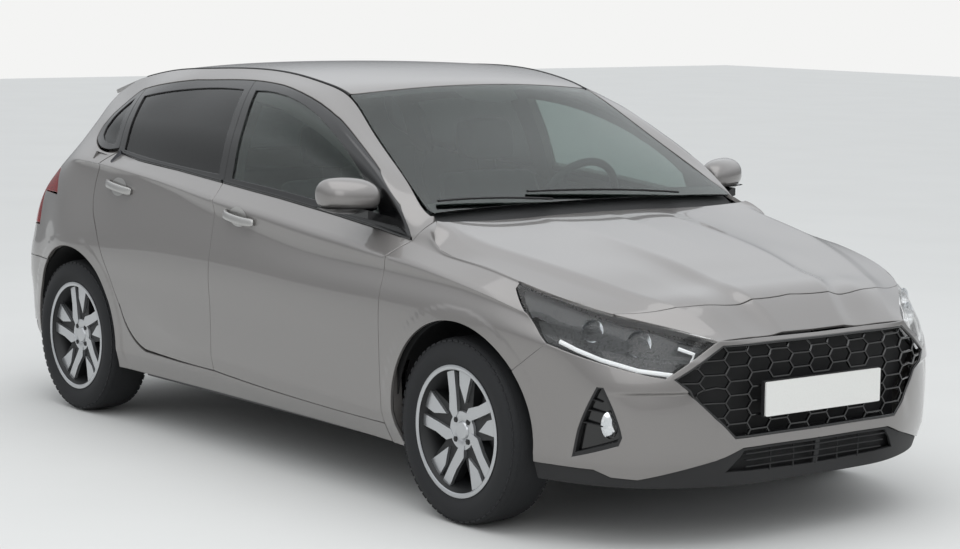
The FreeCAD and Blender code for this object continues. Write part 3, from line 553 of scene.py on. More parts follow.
def add(tree, kind, values=None, links=None, **settings):
    """Adds one node with its settings, socket values and incoming links."""
    node = tree.nodes.new(kind)
    for key, value in settings.items():
        setattr(node, key, value)
    for key, value in (values or {}).items():
        node.inputs[key].default_value = value
    for key, source in (links or {}).items():
        tree.links.new(source, node.inputs[key])
    return node


def surfaced(name, colour, second, grain, roughness, spread=0.04, relief=0.0, pattern="NOISE", **sockets):
    """Two close tones, grain in millimetres, roughness and its spread, relief, shader sockets."""
    material = bpy.data.materials.new(name)
    material.use_nodes = True
    tree = material.node_tree
    tree.nodes.clear()
    place = add(tree, "ShaderNodeTexCoord").outputs["Object"]
    if pattern == "WEAVE":
        waves = [add(tree, "ShaderNodeTexWave", {"Scale": 314.0 / grain, "Distortion": 0.6},
                     {"Vector": place}, bands_direction=way).outputs["Fac"] for way in ("X", "Y", "Z")]
        both = add(tree, "ShaderNodeMath", None, {0: waves[0], 1: waves[1]}, operation="ADD")
        value = add(tree, "ShaderNodeMath", {2: 0.0}, {0: both.outputs[0], 1: waves[2]},
                    operation="MULTIPLY").outputs[0]
    elif pattern == "CELL":
        value = add(tree, "ShaderNodeTexVoronoi", {"Scale": 1000.0 / grain},
                    {"Vector": place}).outputs["Distance"]
    elif pattern == "BRUSH":
        drawn = add(tree, "ShaderNodeMapping", {"Scale": (0.05, 1.0, 1.0)}, {"Vector": place})
        value = add(tree, "ShaderNodeTexNoise", {"Scale": 1000.0 / grain, "Detail": 3.0},
                    {"Vector": drawn.outputs[0]}).outputs["Fac"]
    else:
        value = add(tree, "ShaderNodeTexNoise", {"Scale": 1000.0 / grain, "Detail": 4.0},
                    {"Vector": place}).outputs["Fac"]
    tone = add(tree, "ShaderNodeMix", None, {"Factor": value}, data_type="RGBA")
    tone.inputs[6].default_value = linear(colour)
    tone.inputs[7].default_value = linear(second)
    gloss = add(tree, "ShaderNodeMapRange",
                {"To Min": max(roughness - spread, 0.0), "To Max": roughness + spread}, {"Value": value})
    settings = {key.replace("_", " "): value for key, value in sockets.items()}
    shader = add(tree, "ShaderNodeBsdfPrincipled", settings,
                 {"Base Color": tone.outputs[2], "Roughness": gloss.outputs[0]})
    if relief:
        bump = add(tree, "ShaderNodeBump", {"Strength": 0.8, "Distance": relief * MM}, {"Height": value})
        tree.links.new(bump.outputs[0], shader.inputs["Normal"])
    add(tree, "ShaderNodeOutputMaterial", None, {"Surface": shader.outputs[0]})
    return material


FINISHES = {
    # Sprayed metallic paint: aluminium flake under clear lacquer, a soft glow with sharp reflections.
    # Flake is some 0.05 mm; it is drawn at 1.2 mm so that it shows at all.
    "metallic_paint": lambda car: dict(
        colour=car.paint, second="#898684", grain=1.2, roughness=0.34, spread=0.03, Metallic=0.5,
        Coat_Weight=1.0, Coat_Roughness=0.03),
    # Flat grey inside shuts and under panels, darker than the body paint: the surfaces are real, their darker
    # tone is painted shade in the gaps between panels
    "shut_grey_painted_shade": lambda car: dict(colour="#6B6866", second="#625F5D", grain=9, roughness=0.5,
                                    Metallic=0.2),
    # Piano-black pillar film and trim, glossy ABS
    "gloss_black": lambda car: dict(colour="#0B0B0C", second="#101011", grain=40, roughness=0.16,
                                    Coat_Weight=0.4),
    # Moulded polypropylene with a fine leather grain, for bumpers' lower parts and cladding
    "grained_plastic": lambda car: dict(
        colour="#1A1A1B", second="#232324", grain=1.6, roughness=0.62, relief=0.12, pattern="CELL"),
    # Moulded ABS in the cabin, grained
    "cabin_plastic": lambda car: dict(colour="#242426", second="#2B2B2D", grain=2.0, roughness=0.66,
                                      relief=0.1, pattern="CELL"),
    # Tinted safety glass: the green cast of thick float glass
    "screen_glass": lambda car: dict(colour=car.glass, second="#A4B2AE", grain=300, roughness=0.0,
                                     spread=0.0, Transmission_Weight=1.0, IOR=1.5),
    # Privacy glass, coloured through in the melt
    "privacy_glass": lambda car: dict(colour="#2C302F", second="#313534", grain=300, roughness=0.0,
                                      spread=0.0, Transmission_Weight=1.0, IOR=1.5),
    # Ceramic frit baked on the inside of the glass
    "frit": lambda car: dict(colour="#08090A", second="#0C0D0E", grain=20, roughness=0.3),
    # Moulded polycarbonate, hard coated and clear
    "clear_lens": lambda car: dict(colour="#FAFCFD", second="#FFFFFF", grain=200, roughness=0.0,
                                   spread=0.0, Transmission_Weight=1.0, IOR=1.3),
    # Red acrylic lens, moulded through
    "red_lens": lambda car: dict(colour="#A4070D", second="#B30A10", grain=200, roughness=0.04,
                                 Transmission_Weight=0.55, IOR=1.49),
    # Aluminised reflector bowl, vacuum plated: a mirror with a faint ripple
    "reflector": lambda car: dict(colour="#E4E6E8", second="#D5D8DB", grain=30, roughness=0.12,
                                  Metallic=1.0),
    # Frosted light guide, moulded acrylic with milled optics
    "light_guide": lambda car: dict(colour="#F2F4F5", second="#E3E7EA", grain=3, roughness=0.25,
                                    relief=0.05, Emission_Color=linear("#FFFFFF"), Emission_Strength=0.25,
                                    Coat_Weight=1.0),
    # Dark lamp housing, moulded and satin
    "lamp_housing": lambda car: dict(colour="#2A2C2E", second="#37393B", grain=8, roughness=0.28,
                                     Metallic=0.3),
    # Bright trim: chrome plate over ABS
    "chrome": lambda car: dict(colour="#DADCDD", second="#CFD1D3", grain=60, roughness=0.09,
                               Metallic=1.0),
    # Satin silver paint on handles and grille edges
    "satin_silver": lambda car: dict(colour="#B9B8B6", second="#ACABA9", grain=2, roughness=0.3,
                                     Metallic=0.7, Coat_Weight=0.5),
    # Cast alloy wheel, silver lacquer over shot-blasted skin
    "alloy_lacquer": lambda car: dict(colour=car.wheel, second="#B3B5B7", grain=1.6, roughness=0.3,
                                      Metallic=0.85, Coat_Weight=0.6, Coat_Roughness=0.08),
    # The wheel's pockets, painted dark grey before the face is turned
    "pocket_grey": lambda car: dict(colour="#141516", second="#1C1D1E", grain=2.2, roughness=0.5),
    # Turned cast iron with a thin bloom of rust towards the edge
    "cast_iron": lambda car: dict(colour="#6E6A67", second="#4C433E", grain=14, roughness=0.5,
                                  relief=0.05, Metallic=0.8),
    # Vulcanised rubber: matt, dusty in its fine texture
    "tyre_rubber": lambda car: dict(colour="#17181A", second="#222325", grain=3.0, roughness=0.82,
                                    relief=0.18),
    # Extruded rubber for seals and blades
    "seal_rubber": lambda car: dict(colour="#0E0E0F", second="#151516", grain=5, roughness=0.7),
    # Powder-coated and weathered underbody steel
    "chassis_steel": lambda car: dict(colour="#2C2D2E", second="#3B3835", grain=18, roughness=0.6,
                                      relief=0.1, Metallic=0.3),
    # Aluminised exhaust pipe, dulled by heat
    "exhaust_steel": lambda car: dict(colour="#7C756D", second="#5D554D", grain=24, roughness=0.45,
                                      Metallic=0.9, pattern="BRUSH"),
    # Needle-felt wheel liner
    "felt_liner": lambda car: dict(colour="#141415", second="#1E1E1F", grain=2.4, roughness=0.97,
                                   relief=0.5),
    # Flat woven seat cloth, 1.4 mm yarn drawn at 4 mm, with a napped sheen
    "seat_cloth": lambda car: dict(colour=car.cloth, second="#4A4B50", grain=4.0, roughness=0.9,
                                   relief=0.06, pattern="WEAVE", Sheen_Weight=0.35, Sheen_Roughness=0.5),
    # Reflective plate film, left blank
    "plate_film": lambda car: dict(colour="#E9E9E6", second="#E0E0DC", grain=5, roughness=0.35,
                                   Coat_Weight=0.5),
}


def finish_named(name):
    """The material of that name, made the first time it is asked for."""
    ready = bpy.data.materials.get(name)
    if ready is None:
        ready = surfaced(name, **FINISHES[name](bpy.context.scene.hatchback))
    return ready


# Object making


def show(name, form, finishes, body="root", replaced=(), angle=None, sub=0):
    """Makes one object in metres, gives it its finishes and lets it ride on its body."""
    mesh = bpy.data.meshes.new(name)
    mesh.from_pydata([tuple(c * MM for c in p) for p in form.points], [], form.faces)
    mesh.validate(verbose=False)
    for finish in finishes:
        mesh.materials.append(finish_named(finish))
    if len(mesh.polygons) == len(form.finish):
        mesh.polygons.foreach_set("material_index", form.finish)
    obj = bpy.data.objects.new(name, mesh)
    bpy.context.scene.collection.objects.link(obj)
    normals = np.array(form.normals)
    given = np.linalg.norm(normals, axis=1) > 0.5
    if angle is not None or not given.all():
        bm = bmesh.new()
        bm.from_mesh(mesh)
        bmesh.ops.remove_doubles(bm, verts=bm.verts, dist=0.00002)
        bmesh.ops.recalc_face_normals(bm, faces=bm.faces)
        bm.to_mesh(mesh)
        bm.free()
        mesh.shade_smooth()
        mesh.set_sharp_from_angle(angle=math.radians(angle or 32.0))
    else:
        mesh.shade_smooth()
        mesh.normals_split_custom_set_from_vertices([Vector(n) for n in form.normals])
    if sub:
        mod = obj.modifiers.new("Smooth", "SUBSURF")
        mod.levels = sub
        mod.render_levels = sub
    for node in replaced:
        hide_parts(node)
    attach(obj, body)
    return obj


def whole(form):
    """A right half joined with its mirror image, sharing the points on the middle line."""
    other = form.mirrored()
    count = len(form.points)
    twin = [k if abs(form.points[k][1]) < 0.01 else count + k for k in range(count)]
    form.points = form.points + other.points
    form.normals = form.normals + other.normals
    form.faces = form.faces + [tuple(twin[i] for i in face) for face in other.faces]
    form.finish = form.finish + other.finish
    return form


def both(name, form, finishes, body="root", replaced=(), **options):
    """Shows a right-hand form and its mirror image; bodies and nodes that end in _ get their side."""
    made = []
    for end, shape in (("right", form), ("left", form.mirrored())):
        nodes = [node + end if node.endswith("_") else node for node in replaced]
        rider = body + end if body.endswith("_") else body
        made.append(show(name + "_" + end, shape, finishes, rider, nodes, **options))
    return made


# The shape of the body, in millimetres: lines along the car, half width as y


def run(side, front=(), rear=()):
    """A line down the car's side, with its turn round the nose and round the tail at fixed stations."""
    points = [(x, x, y, z) for x, y, z in side]
    points += [(u,) + tuple(p) for u, p in zip((1800, 1985, 2170, 2385, 2600), front)]
    points += [(u,) + tuple(p) for u, p in zip((-1700, -1880, -1960, -2060, -2260, -2710), rear)]
    if front:
        x, y, z = front[3]
        points.append((2815, x, -y, z))
    if rear:
        x, y, z = rear[4]
        points.append((-3160, x, -y, z))
    return Line(points)


HEM = run([(-1500, 832, 226), (-1034, 838, 222), (-300, 812, 214), (200, 806, 208), (750, 815, 204),
           (1000, 832, 204), (1300, 830, 204), (1500, 796, 205)],
          [(1758, 706, 206), (1872, 585, 204), (1955, 395, 202), (1980, 210, 202), (1986, 0, 203)],
          [(-1690, 806, 226), (-1838, 762, 226), (-1890, 705, 228), (-1918, 610, 230), (-1943, 400, 232),
           (-1958, 0, 235)])
SILL = run([(-1500, 862, 300), (-1034, 865, 300), (-300, 858, 292), (200, 855, 284), (750, 856, 280),
            (1000, 864, 285), (1300, 858, 288), (1500, 818, 290)],
           [(1776, 724, 290), (1896, 595, 292), (1982, 398, 294), (1996, 212, 295), (2001, 0, 296)],
           [(-1700, 834, 300), (-1872, 784, 300), (-1930, 722, 300), (-1962, 620, 300), (-1988, 400, 300),
            (-2000, 0, 300)])
CREASE = run([(-1500, 878, 520), (-1200, 882, 510), (-869, 875, 468), (-561, 876, 400), (-310, 875, 368),
              (-32, 875, 354), (297, 874, 341), (605, 871, 326), (785, 871, 323), (1000, 876, 340),
              (1300, 868, 360), (1500, 824, 375)],
             [(1778, 732, 390), (1903, 604, 395), (1984, 420, 400), (1999, 218, 400), (2003, 0, 400)],
             [(-1700, 842, 480), (-1884, 790, 450), (-1944, 726, 445), (-1976, 622, 440),
              (-2000, 400, 440), (-2012, 0, 440)])
LOW_FLANK = run([(-1500, 882, 620), (-1200, 884, 600), (-869, 881, 570), (-300, 879, 545),
                 (300, 880, 528), (785, 882, 520), (1000, 883, 520), (1300, 872, 520), (1500, 834, 522)],
                [(1770, 740, 525), (1899, 607, 528), (1984, 434, 530), (2004, 223, 532), (2010, 0, 533)],
                [(-1700, 850, 575), (-1886, 798, 550), (-1950, 732, 545), (-1979, 624, 545),
                 (-2002, 400, 545), (-2013, 0, 545)])
FLANK = run([(-1500, 879, 715), (-1200, 886, 705), (-800, 886, 700), (-300, 886, 697), (300, 886, 690),
             (785, 885, 690), (1000, 883, 690), (1250, 876, 682), (1400, 860, 672), (1500, 842, 660)],
            [(1750, 737, 612), (1880, 604, 606), (1972, 442, 602), (2000, 224, 602), (2010, 0, 602)],
            [(-1700, 845, 680), (-1868, 797, 662), (-1932, 732, 655), (-1964, 620, 650),
             (-1990, 400, 640), (-2001, 0, 636)])
BAND_LOW = run([(-1500, 828, 1000), (-1388, 834, 1020), (-1056, 841, 1002), (-877, 846, 988),
                (-634, 851, 962), (-312, 857, 908), (-43, 860, 872), (161, 861, 842), (356, 861, 822),
                (539, 860, 814), (797, 860, 806), (997, 859, 797), (1212, 855, 783), (1395, 838, 755),
                (1500, 815, 722)],
               [(1738, 722, 662), (1868, 592, 634), (1969, 433, 625), (1996, 222, 625), (2004, 0, 626)],
               [(-1680, 788, 948), (-1792, 750, 905), (-1838, 703, 892), (-1874, 608, 886),
                (-1922, 400, 879), (-1952, 0, 873)])
BAND_TOP = run([(-1500, 812, 1030), (-1388, 836, 1035), (-1056, 843, 1020), (-732, 850, 996),
                (-327, 862, 955), (6, 865, 927), (269, 866, 902), (518, 866, 879), (775, 864, 855),
                (973, 862, 837), (1201, 857, 803), (1394, 840, 764), (1500, 812, 735)],
               [(1722, 706, 706), (1858, 572, 664), (1966, 427, 648), (1986, 220, 648), (1991, 0, 648)],
               [(-1652, 764, 996), (-1738, 718, 962), (-1776, 672, 955), (-1812, 588, 950),
                (-1862, 390, 944), (-1897, 0, 940)])
BELT = run([(-1500, 742, 1112), (-1400, 758, 1118), (-1280, 770, 1106), (-1164, 779, 1075),
            (-963, 793, 1053), (-662, 794, 1036), (-348, 795, 1013), (-152, 796, 999), (47, 795, 985),
            (239, 793, 968), (424, 790, 951), (659, 786, 926), (780, 785, 911), (880, 790, 892),
            (980, 791, 874), (1068, 788, 862), (1213, 784, 848), (1412, 774, 816), (1572, 740, 780)],
           [(1726, 655, 738), (1850, 536, 704), (1964, 421, 669), (1974, 220, 669), (1977, 0, 669)],
           [(-1590, 708, 1070), (-1650, 672, 1046), (-1682, 630, 1040), (-1714, 555, 1036),
            (-1766, 370, 1029), (-1815, 0, 1021)])
WAIST = run([(-1500, 674, 1190), (-1400, 690, 1205), (-1280, 706, 1215), (-1100, 724, 1214),
             (-700, 730, 1212), (-300, 736, 1200), (0, 742, 1176), (300, 750, 1108), (577, 762, 1030),
             (733, 772, 965), (840, 774, 925), (893, 762, 930), (945, 771, 910), (1010, 782, 883),
             (1068, 783, 872), (1213, 779, 857), (1412, 770, 824), (1572, 736, 788)],
            [(1719, 649, 746), (1828, 528, 714), (1942, 416, 682), (1951, 218, 684), (1953, 0, 684)],
            [(-1558, 656, 1158), (-1610, 626, 1134), (-1640, 586, 1128), (-1672, 520, 1124),
             (-1722, 352, 1120), (-1768, 0, 1118)])
PANE_TOP = run([(-1500, 596, 1275), (-1400, 604, 1290), (-1280, 614, 1315), (-1100, 620, 1356),
                (-800, 617, 1377), (-386, 627, 1391), (-186, 639, 1384), (-42, 649, 1368),
                (109, 662, 1333), (263, 680, 1281), (422, 703, 1205), (577, 728, 1122), (733, 752, 1015),
                (820, 748, 960), (880, 732, 957), (945, 754, 938), (1010, 762, 896), (1068, 766, 884),
                (1213, 762, 868), (1412, 750, 838), (1572, 712, 802)],
               [(1700, 620, 758), (1802, 500, 732), (1918, 402, 704), (1928, 214, 706), (1930, 0, 706)],
               [(-1545, 580, 1252), (-1582, 552, 1236), (-1608, 515, 1232), (-1634, 456, 1232),
                (-1676, 310, 1234), (-1712, 0, 1237)])
DITCH = run([(-1500, 536, 1330), (-1400, 550, 1352), (-1280, 558, 1374), (-1060, 566, 1404),
             (-800, 572, 1420), (-430, 576, 1431), (-186, 573, 1420), (0, 569, 1394), (150, 567, 1357),
             (340, 606, 1258), (520, 642, 1157), (700, 679, 1058), (820, 704, 990), (880, 706, 972),
             (945, 720, 955), (1010, 735, 915), (1068, 744, 897), (1213, 740, 882), (1412, 726, 852),
             (1572, 690, 815)],
            [(1680, 595, 768), (1780, 476, 748), (1898, 386, 724), (1908, 210, 728), (1910, 0, 728)],
            [(-1540, 515, 1322), (-1572, 480, 1318), (-1588, 440, 1320), (-1604, 385, 1324),
             (-1624, 270, 1332), (-1640, 0, 1338)])


def along_doors(front, rear, fade=220.0):
    """How sharp a crease is along the car: full between two stations and smooth beyond them."""
    return lambda u: smoothstep(u, rear - fade, rear) * (1 - smoothstep(u, front, front + fade))


def arch_flare(p):
    """The wheel arches stand a little proud, as a flat band round each opening."""
    out = p.copy()
    for x, z, radius, width in ((*FRONT_ARCH, 46.0), (*REAR_ARCH, 48.0)):
        r = np.hypot(p[:, 0] - x, p[:, 2] - z)
        rise = 1 - smoothstep(r, radius + width - 7, radius + width + 7)
        near = (p[:, 1] > 640) & (np.abs(p[:, 0] - x) < 460)
        flare = 4.0 * rise * (1 - 0.5 * smoothstep(r, radius - 30, radius + width))
        out[:, 1] += np.where(near, flare, 0.0)
    return out


def nose_facets(p):
    """Under the lamps the bumper steps in along a crease, and comes out again towards the lower wing."""
    out = p.copy()
    front = p[:, 0] > 1640
    y, z = p[:, 1], p[:, 2]
    slant = 0.42 * np.abs(z - 430)
    across = smoothstep(y, 380 + slant, 440 + slant) * (1 - smoothstep(y, 640, 735))
    crease = 512 - 0.02 * (y - 560) + 18 * smoothstep(y, 480, 330)
    depth = smoothstep(z, crease + 5, crease - 5)
    tuck = depth * np.clip((z - 322) / 190.0, 0, 1) * 17.0
    out[:, 0] -= np.where(front, tuck * across, 0)
    return out


LINES = [HEM, SILL, CREASE, LOW_FLANK, FLANK, BAND_LOW, BAND_TOP, BELT, WAIST, PANE_TOP, DITCH]
LEVELS = [205, 290, 355, 540, 695, 880, 930, 990, 1190, 1388, 1455]
# The same body without creases, for pieces that lie deep behind it
PLAIN_BODY = Skin(LINES, LEVELS, facing=-1.0)
BODY = Skin(LINES, LEVELS,
            creases=[(1, along_doors(2600, -1030)), (2, along_doors(760, -800)),
                     (5, along_doors(1180, -760)), (6, along_doors(1380, -1250)),
                     (7, along_doors(800, -1150))],
            dents=[arch_flare, nose_facets], facing=-1.0)

CUT = [(1723, 651, 746), (1572, 737, 788), (1412, 771, 824), (1213, 780, 857), (1068, 784, 872),
       (1010, 783, 884), (962, 774, 904), (935, 756, 938), (912, 730, 962), (880, 716, 974)]
HOOD = Skin([
    Line([(1970, 0, 668), (1912, 0, 724), (1849, 0, 776), (1700, 0, 822), (1550, 0, 860), (1380, 0, 896),
          (1100, 0, 942), (950, 0, 961), (880, 0, 970)]),
    Line([(1970, 140, 670), (1912, 152, 725), (1849, 176, 777), (1700, 198, 822), (1550, 212, 859),
          (1380, 225, 894), (1100, 240, 937), (880, 250, 968)]),
    Line([(1969, 185, 666), (1905, 200, 717), (1845, 222, 765), (1700, 248, 808), (1550, 264, 846),
          (1380, 280, 884), (1100, 300, 932), (880, 315, 966)]),
    Line([(1967, 290, 668), (1905, 315, 714), (1838, 345, 762), (1700, 378, 799), (1550, 402, 837),
          (1380, 428, 872), (1100, 460, 924), (880, 480, 964)]),
    Line([(1964, 372, 670), (1884, 412, 720), (1800, 458, 764), (1700, 506, 790), (1550, 566, 828),
          (1400, 616, 862), (1250, 655, 892), (1100, 680, 917), (950, 676, 950), (880, 662, 969)]),
    Line([(1964, 400, 669), (1884, 448, 709), (1800, 508, 746), (1700, 562, 774), (1550, 628, 811),
          (1400, 676, 845), (1250, 712, 873), (1100, 728, 897), (950, 706, 945), (880, 692, 972)]),
    Line([(1964, 421, 669), (1890, 484, 694)] + CUT),
], [0, 190, 245, 390, 570, 640, 750],
    creases=[(1, along_doors(2000, 1150)), (2, lambda u: 0.4 + 0 * u), (4, along_doors(2000, 1000)),
             (5, along_doors(2000, 1000))])


ROOF_CENTRE = Line([(862, 0, 999), (850, 0, 1005), (700, 0, 1094), (520, 0, 1197), (340, 0, 1301),
                    (186, 0, 1388), (60, 0, 1418), (-120, 0, 1438), (-430, 0, 1449), (-800, 0, 1443),
                    (-1060, 0, 1430), (-1330, 0, 1405), (-1500, 0, 1379), (-1640, 0, 1350)])
ROOF_EDGE = Line([(862, 710, 976), (850, 708, 982), (700, 679, 1058), (520, 642, 1157), (340, 606, 1258),
                  (150, 567, 1357), (0, 569, 1394), (-186, 573, 1420), (-430, 576, 1431),
                  (-800, 572, 1420), (-1060, 566, 1404), (-1280, 558, 1374), (-1400, 550, 1352),
                  (-1500, 540, 1330), (-1640, 520, 1300)])


class Crown(Skin):
    """Screen and roof: a parabola across the car from middle line to edge line; v is the half width."""

    def __init__(self, middle, edge):
        super().__init__([middle, edge], [0, 575])
        self.middle = middle
        self.edge = edge

    def at(self, u, v):
        u = np.asarray(u, float)
        share = np.asarray(v, float) / 575.0
        a = self.middle.at(u)
        b = self.edge.at(u)
        p = a.copy()
        p[:, 1] = b[:, 1] * share
        p[:, 2] = a[:, 2] + (b[:, 2] - a[:, 2]) * np.abs(share) ** 2.3
        return p


ROOF = Crown(ROOF_CENTRE, ROOF_EDGE)


# Which coordinates a view gives: from the side, from an end, or all three
SIDE = [0, 2]
END = [1, 2]
PLACE = [0, 1, 2]
GLASS_TOP = 1388.0


def trace(points, axes, span, step=20):
    """An open line of places seen from the side, from an end or in space, as (u, v) on the body."""
    return BODY.find(dense(points, step, False), axes, span)


def side(path, gap=GAP, span=(-1780, 1990)):
    """An outline seen from the side, on the body skin, drawn in by the gap."""
    found = BODY.find(dense(outline(path), 24.0), SIDE, span)
    found[:, 1] = np.minimum(found[:, 1], GLASS_TOP)
    return shrink(found, gap)


BELT_SIDE = [(-1164, 1075), (-963, 1053), (-662, 1036), (-348, 1013), (-152, 999), (47, 985), (239, 968),
             (424, 951), (659, 926), (780, 911), (844, 903)]


def belt_z(x):
    """The height of the belt line at a place along the car."""
    pts = sorted(BELT_SIDE)
    return float(np.interp(x, [p[0] for p in pts], [p[1] for p in pts]))


FRONT_DOOR_LOW = [(790, 277), (790, 770), ((800, 850), (846, 902)), (780, 911), (659, 926), (424, 951),
                  (239, 968), (47, 985), (-152, 999), (-344, 1013), ((-312, 950), (-303, 880)),
                  (-303, 311), ((267, 284), (790, 277))]
REAR_DOOR_LOW = [(-303, 311), (-303, 880), ((-312, 950), (-344, 1013)), (-662, 1036), (-963, 1053),
                 (-1166, 1074), ((-1232, 950), (-1212, 822)), (-984, 471), ((-915, 375), (-809, 322)),
                 ((-560, 313), (-303, 311))]
FRONT_FRAME = [(846, 903), (733, 1014), (577, 1122), ((263, 1281), (-379, 1391)), (-344, 1013),
               (-152, 999), (47, 985), (239, 968), (424, 951), (659, 926), (780, 911)]
REAR_FRAME = [(-344, 1013), (-379, 1391), ((-800, 1378), (-1205, 1326)), (-1168, 1074), (-963, 1053),
              (-662, 1036)]
FRONT_PANE = [(665, 950), ((263, 1246), (-332, 1358)), (-298, 1030), ((180, 1000), (665, 950))]
REAR_PANE = [(-388, 1040), (-420, 1358), ((-780, 1347), (-1158, 1300)), (-1128, 1086),
             ((-760, 1058), (-388, 1040))]
QUARTER_TRIM = [(-1172, 1092), (-1207, 1326), ((-1300, 1285), (-1376, 1186)),
                ((-1388, 1150), (-1368, 1118)), ((-1300, 1092), (-1225, 1084))]
QUARTER_PANE = [(-1216, 1104), (-1244, 1288), ((-1300, 1252), (-1344, 1184)),
                ((-1352, 1150), (-1336, 1130)), ((-1290, 1110), (-1216, 1104))]


def circle(x, z, radius, start, end, count=40):
    """Points round a wheel arch, seen from the side; angles in degrees from forward, upward positive."""
    return [(x + radius * math.cos(math.radians(start + (end - start) * k / count)),
             z + radius * math.sin(math.radians(start + (end - start) * k / count)))
            for k in range(count + 1)]


def fender_loop():
    """The front fender between bonnet, door, sill, wheel arch and lamp."""
    low = trace([(1466, 548)] + circle(*FRONT_ARCH, 38.4, 201.0)
                + [(877, 206), (790, 206), (790, 770)] + arc((790, 770), (800, 850), (846, 902))
                + [(862, 930)], SIDE, (760, 1800))
    top = trace([p for p in reversed(CUT) if p[0] < 1420] + [(1398, 771, 822)], PLACE, (760, 1800))
    lamp = trace([(1398, 815), (1600, 648), (1466, 548)], SIDE, (760, 1800))
    return shrink(np.concatenate([low[:-1], top, lamp[1:-1]]), GAP)


FOG = [(1680, 292), (1790, 548), (1816, 546), (1872, 340), (1858, 322)]


def bumper_loop():
    """The front bumper round the grille opening and over the lower intake."""
    sides = trace(arc((1902, 556), (1760, 600), (1600, 648))[1:] + [(1466, 548)]
                  + circle(*FRONT_ARCH, 38.4, -12.4), SIDE, (1400, 2100), 18)
    low = trace([(735, 262), (700, 240), (640, 234), (400, 300), (330, 326), (0, 326)], END, (1700, 2620),
                16)
    middle = trace([(0, 358), (364, 358), (566, 555), (406, 657), (0, 657)], END, (1800, 2620), 16)
    lip = trace([(0, 666), (419, 668), (588, 556)], END, (1800, 2620), 16)
    for part in (low[-1:], middle[:1], middle[-1:], lip[:1]):
        part[:, 0] = NOSE_MIDDLE
    return shrink(np.concatenate([sides, low, middle, lip]), GAP * 0.6)


def lamp_loop():
    """The head lamp between bonnet, fender, bumper and grille."""
    top = trace([(1398, 771, 822), (1412, 771, 824), (1572, 737, 788), (1723, 651, 746), (1890, 484, 695),
                 (1964, 421, 669)], PLACE, (1300, 2300), 16)
    front_edge = trace([(421, 668), (590, 556)], END, (1800, 2300), 12)
    low = trace(arc((1902, 556), (1760, 600), (1600, 648)) + [(1398, 815)], SIDE, (1300, 2100), 16)
    return shrink(np.concatenate([top, front_edge[1:-1], low[:-1]]), GAP)


def side_loop():
    """The side panel: sill, rear wheel arch, rear corner, roof rail, front pillar and round the doors."""
    arch = circle(*REAR_ARCH, -18.0, 129.0)
    foot = [(790, 208), (-1034, 222)] + arch + [(-1600, 600)]
    low = trace(foot, SIDE, (-1790, 900))
    tail = trace([(-1600, 606), (-1740, 606)], SIDE, (-1900, -1500))
    corner = trace([(780, 606), (640, 607), (502, 610), (546, 735), (640, 736), (755, 737)], END,
                   (-2240, -1745), 18)
    lamp = trace([(-1750, 739), (-1760, 880), (-1560, 880), (-1600, 985), (-1655, 985)], SIDE,
                 (-1900, -1500))
    gate = trace([(648, 995), (610, 1040), (604, 1130), (588, 1220)], END, (-1960, -1500))
    top = np.array([[u, 1455.0] for u in np.arange(-1400.0, 860.0, 20.0)])
    tip = trace([(852, 700, 985), (866, 712, 978), (876, 720, 962), (862, 770, 930)], PLACE, (700, 1000),
                12)
    doors = trace([(846, 902), (733, 1014), (577, 1122)]
                  + arc((577, 1122), (263, 1281), (-379, 1391))[1:]
                  + arc((-379, 1391), (-800, 1378), (-1205, 1326))[1:]
                  + arc((-1205, 1328), (-1300, 1285), (-1376, 1186))[1:]
                  + arc((-1376, 1186), (-1388, 1150), (-1368, 1118))[1:]
                  + arc((-1368, 1118), (-1290, 1086), (-1168, 1074))[1:]
                  + arc((-1168, 1074), (-1232, 950), (-1212, 822))[1:] + [(-984, 471)]
                  + arc((-984, 471), (-915, 375), (-809, 322))[1:] + [(-560, 313), (-303, 311)]
                  + arc((-303, 311), (267, 284), (790, 277))[1:], SIDE, (-1500, 900), 18)
    doors[:, 1] = np.minimum(doors[:, 1], GLASS_TOP)
    return shrink(np.concatenate([low[:-1], tail, corner, lamp[:-1], gate, top, tip, doors]), GAP)


APERTURE = [(845, 225), (845, 880), (735, 985), (560, 1105), ((250, 1262), (-379, 1372)),
            ((-800, 1362), (-1215, 1305)), (-1240, 1090), ((-1290, 950), (-1275, 822)), (-1060, 500),
            ((-1040, 400), (-1012, 250)), (-600, 228)]
DOOR_HOLES = (
    [(742, 330), (742, 855), (600, 930), (560, 1050), ((220, 1215), (-318, 1325)), (-290, 1000),
     (-262, 880), (-262, 350), (250, 328)],
    [(-348, 352), (-348, 880), (-385, 1010), (-425, 1322), ((-780, 1312), (-1128, 1268)), (-1108, 1040),
     (-1150, 950), (-1120, 822), (-930, 505), ((-860, 415), (-780, 365))],
)


def sheet_edge():
    """The depth of a panel's rolled edge, in millimetres."""
    return bpy.context.scene.hatchback_sizes.sheet / MM


def build_sides():
    sheet = sheet_edge()
    # The side panel's rolled edge and back take the darker shut grey, painted shade along the shut lines
    both("side_panel", panel(BODY, side_loop(), depth=sheet + 4, rim_finish=1),
         ("metallic_paint", "shut_grey_painted_shade"), replaced=("body_side_",))
    both("fender", panel(BODY, fender_loop(), depth=sheet), ("metallic_paint",), replaced=("fenders",))
    # The door aperture behind the gaps is real; its darker shut grey is painted shade seen through the gaps
    ring = panel(BODY, side(APERTURE, 0.0), [side(path, 0.0) for path in DOOR_HOLES], start=18, depth=34,
                 step=20)
    both("body_aperture", ring, ("shut_grey_painted_shade",))


CARDS = {
    "front": [(752, 318), (752, 770), ((760, 830), (770, 868)), (640, 890), (424, 915), (239, 932),
              (-152, 962), (-300, 974), (-265, 880), (-265, 350), ((267, 322), (752, 318))],
    "rear": [(-342, 350), (-342, 880), (-375, 984), (-662, 1000), (-963, 1012), (-1120, 1030),
             ((-1185, 950), (-1166, 835)), (-955, 505), ((-880, 400), (-790, 360)), (-342, 350)],
}


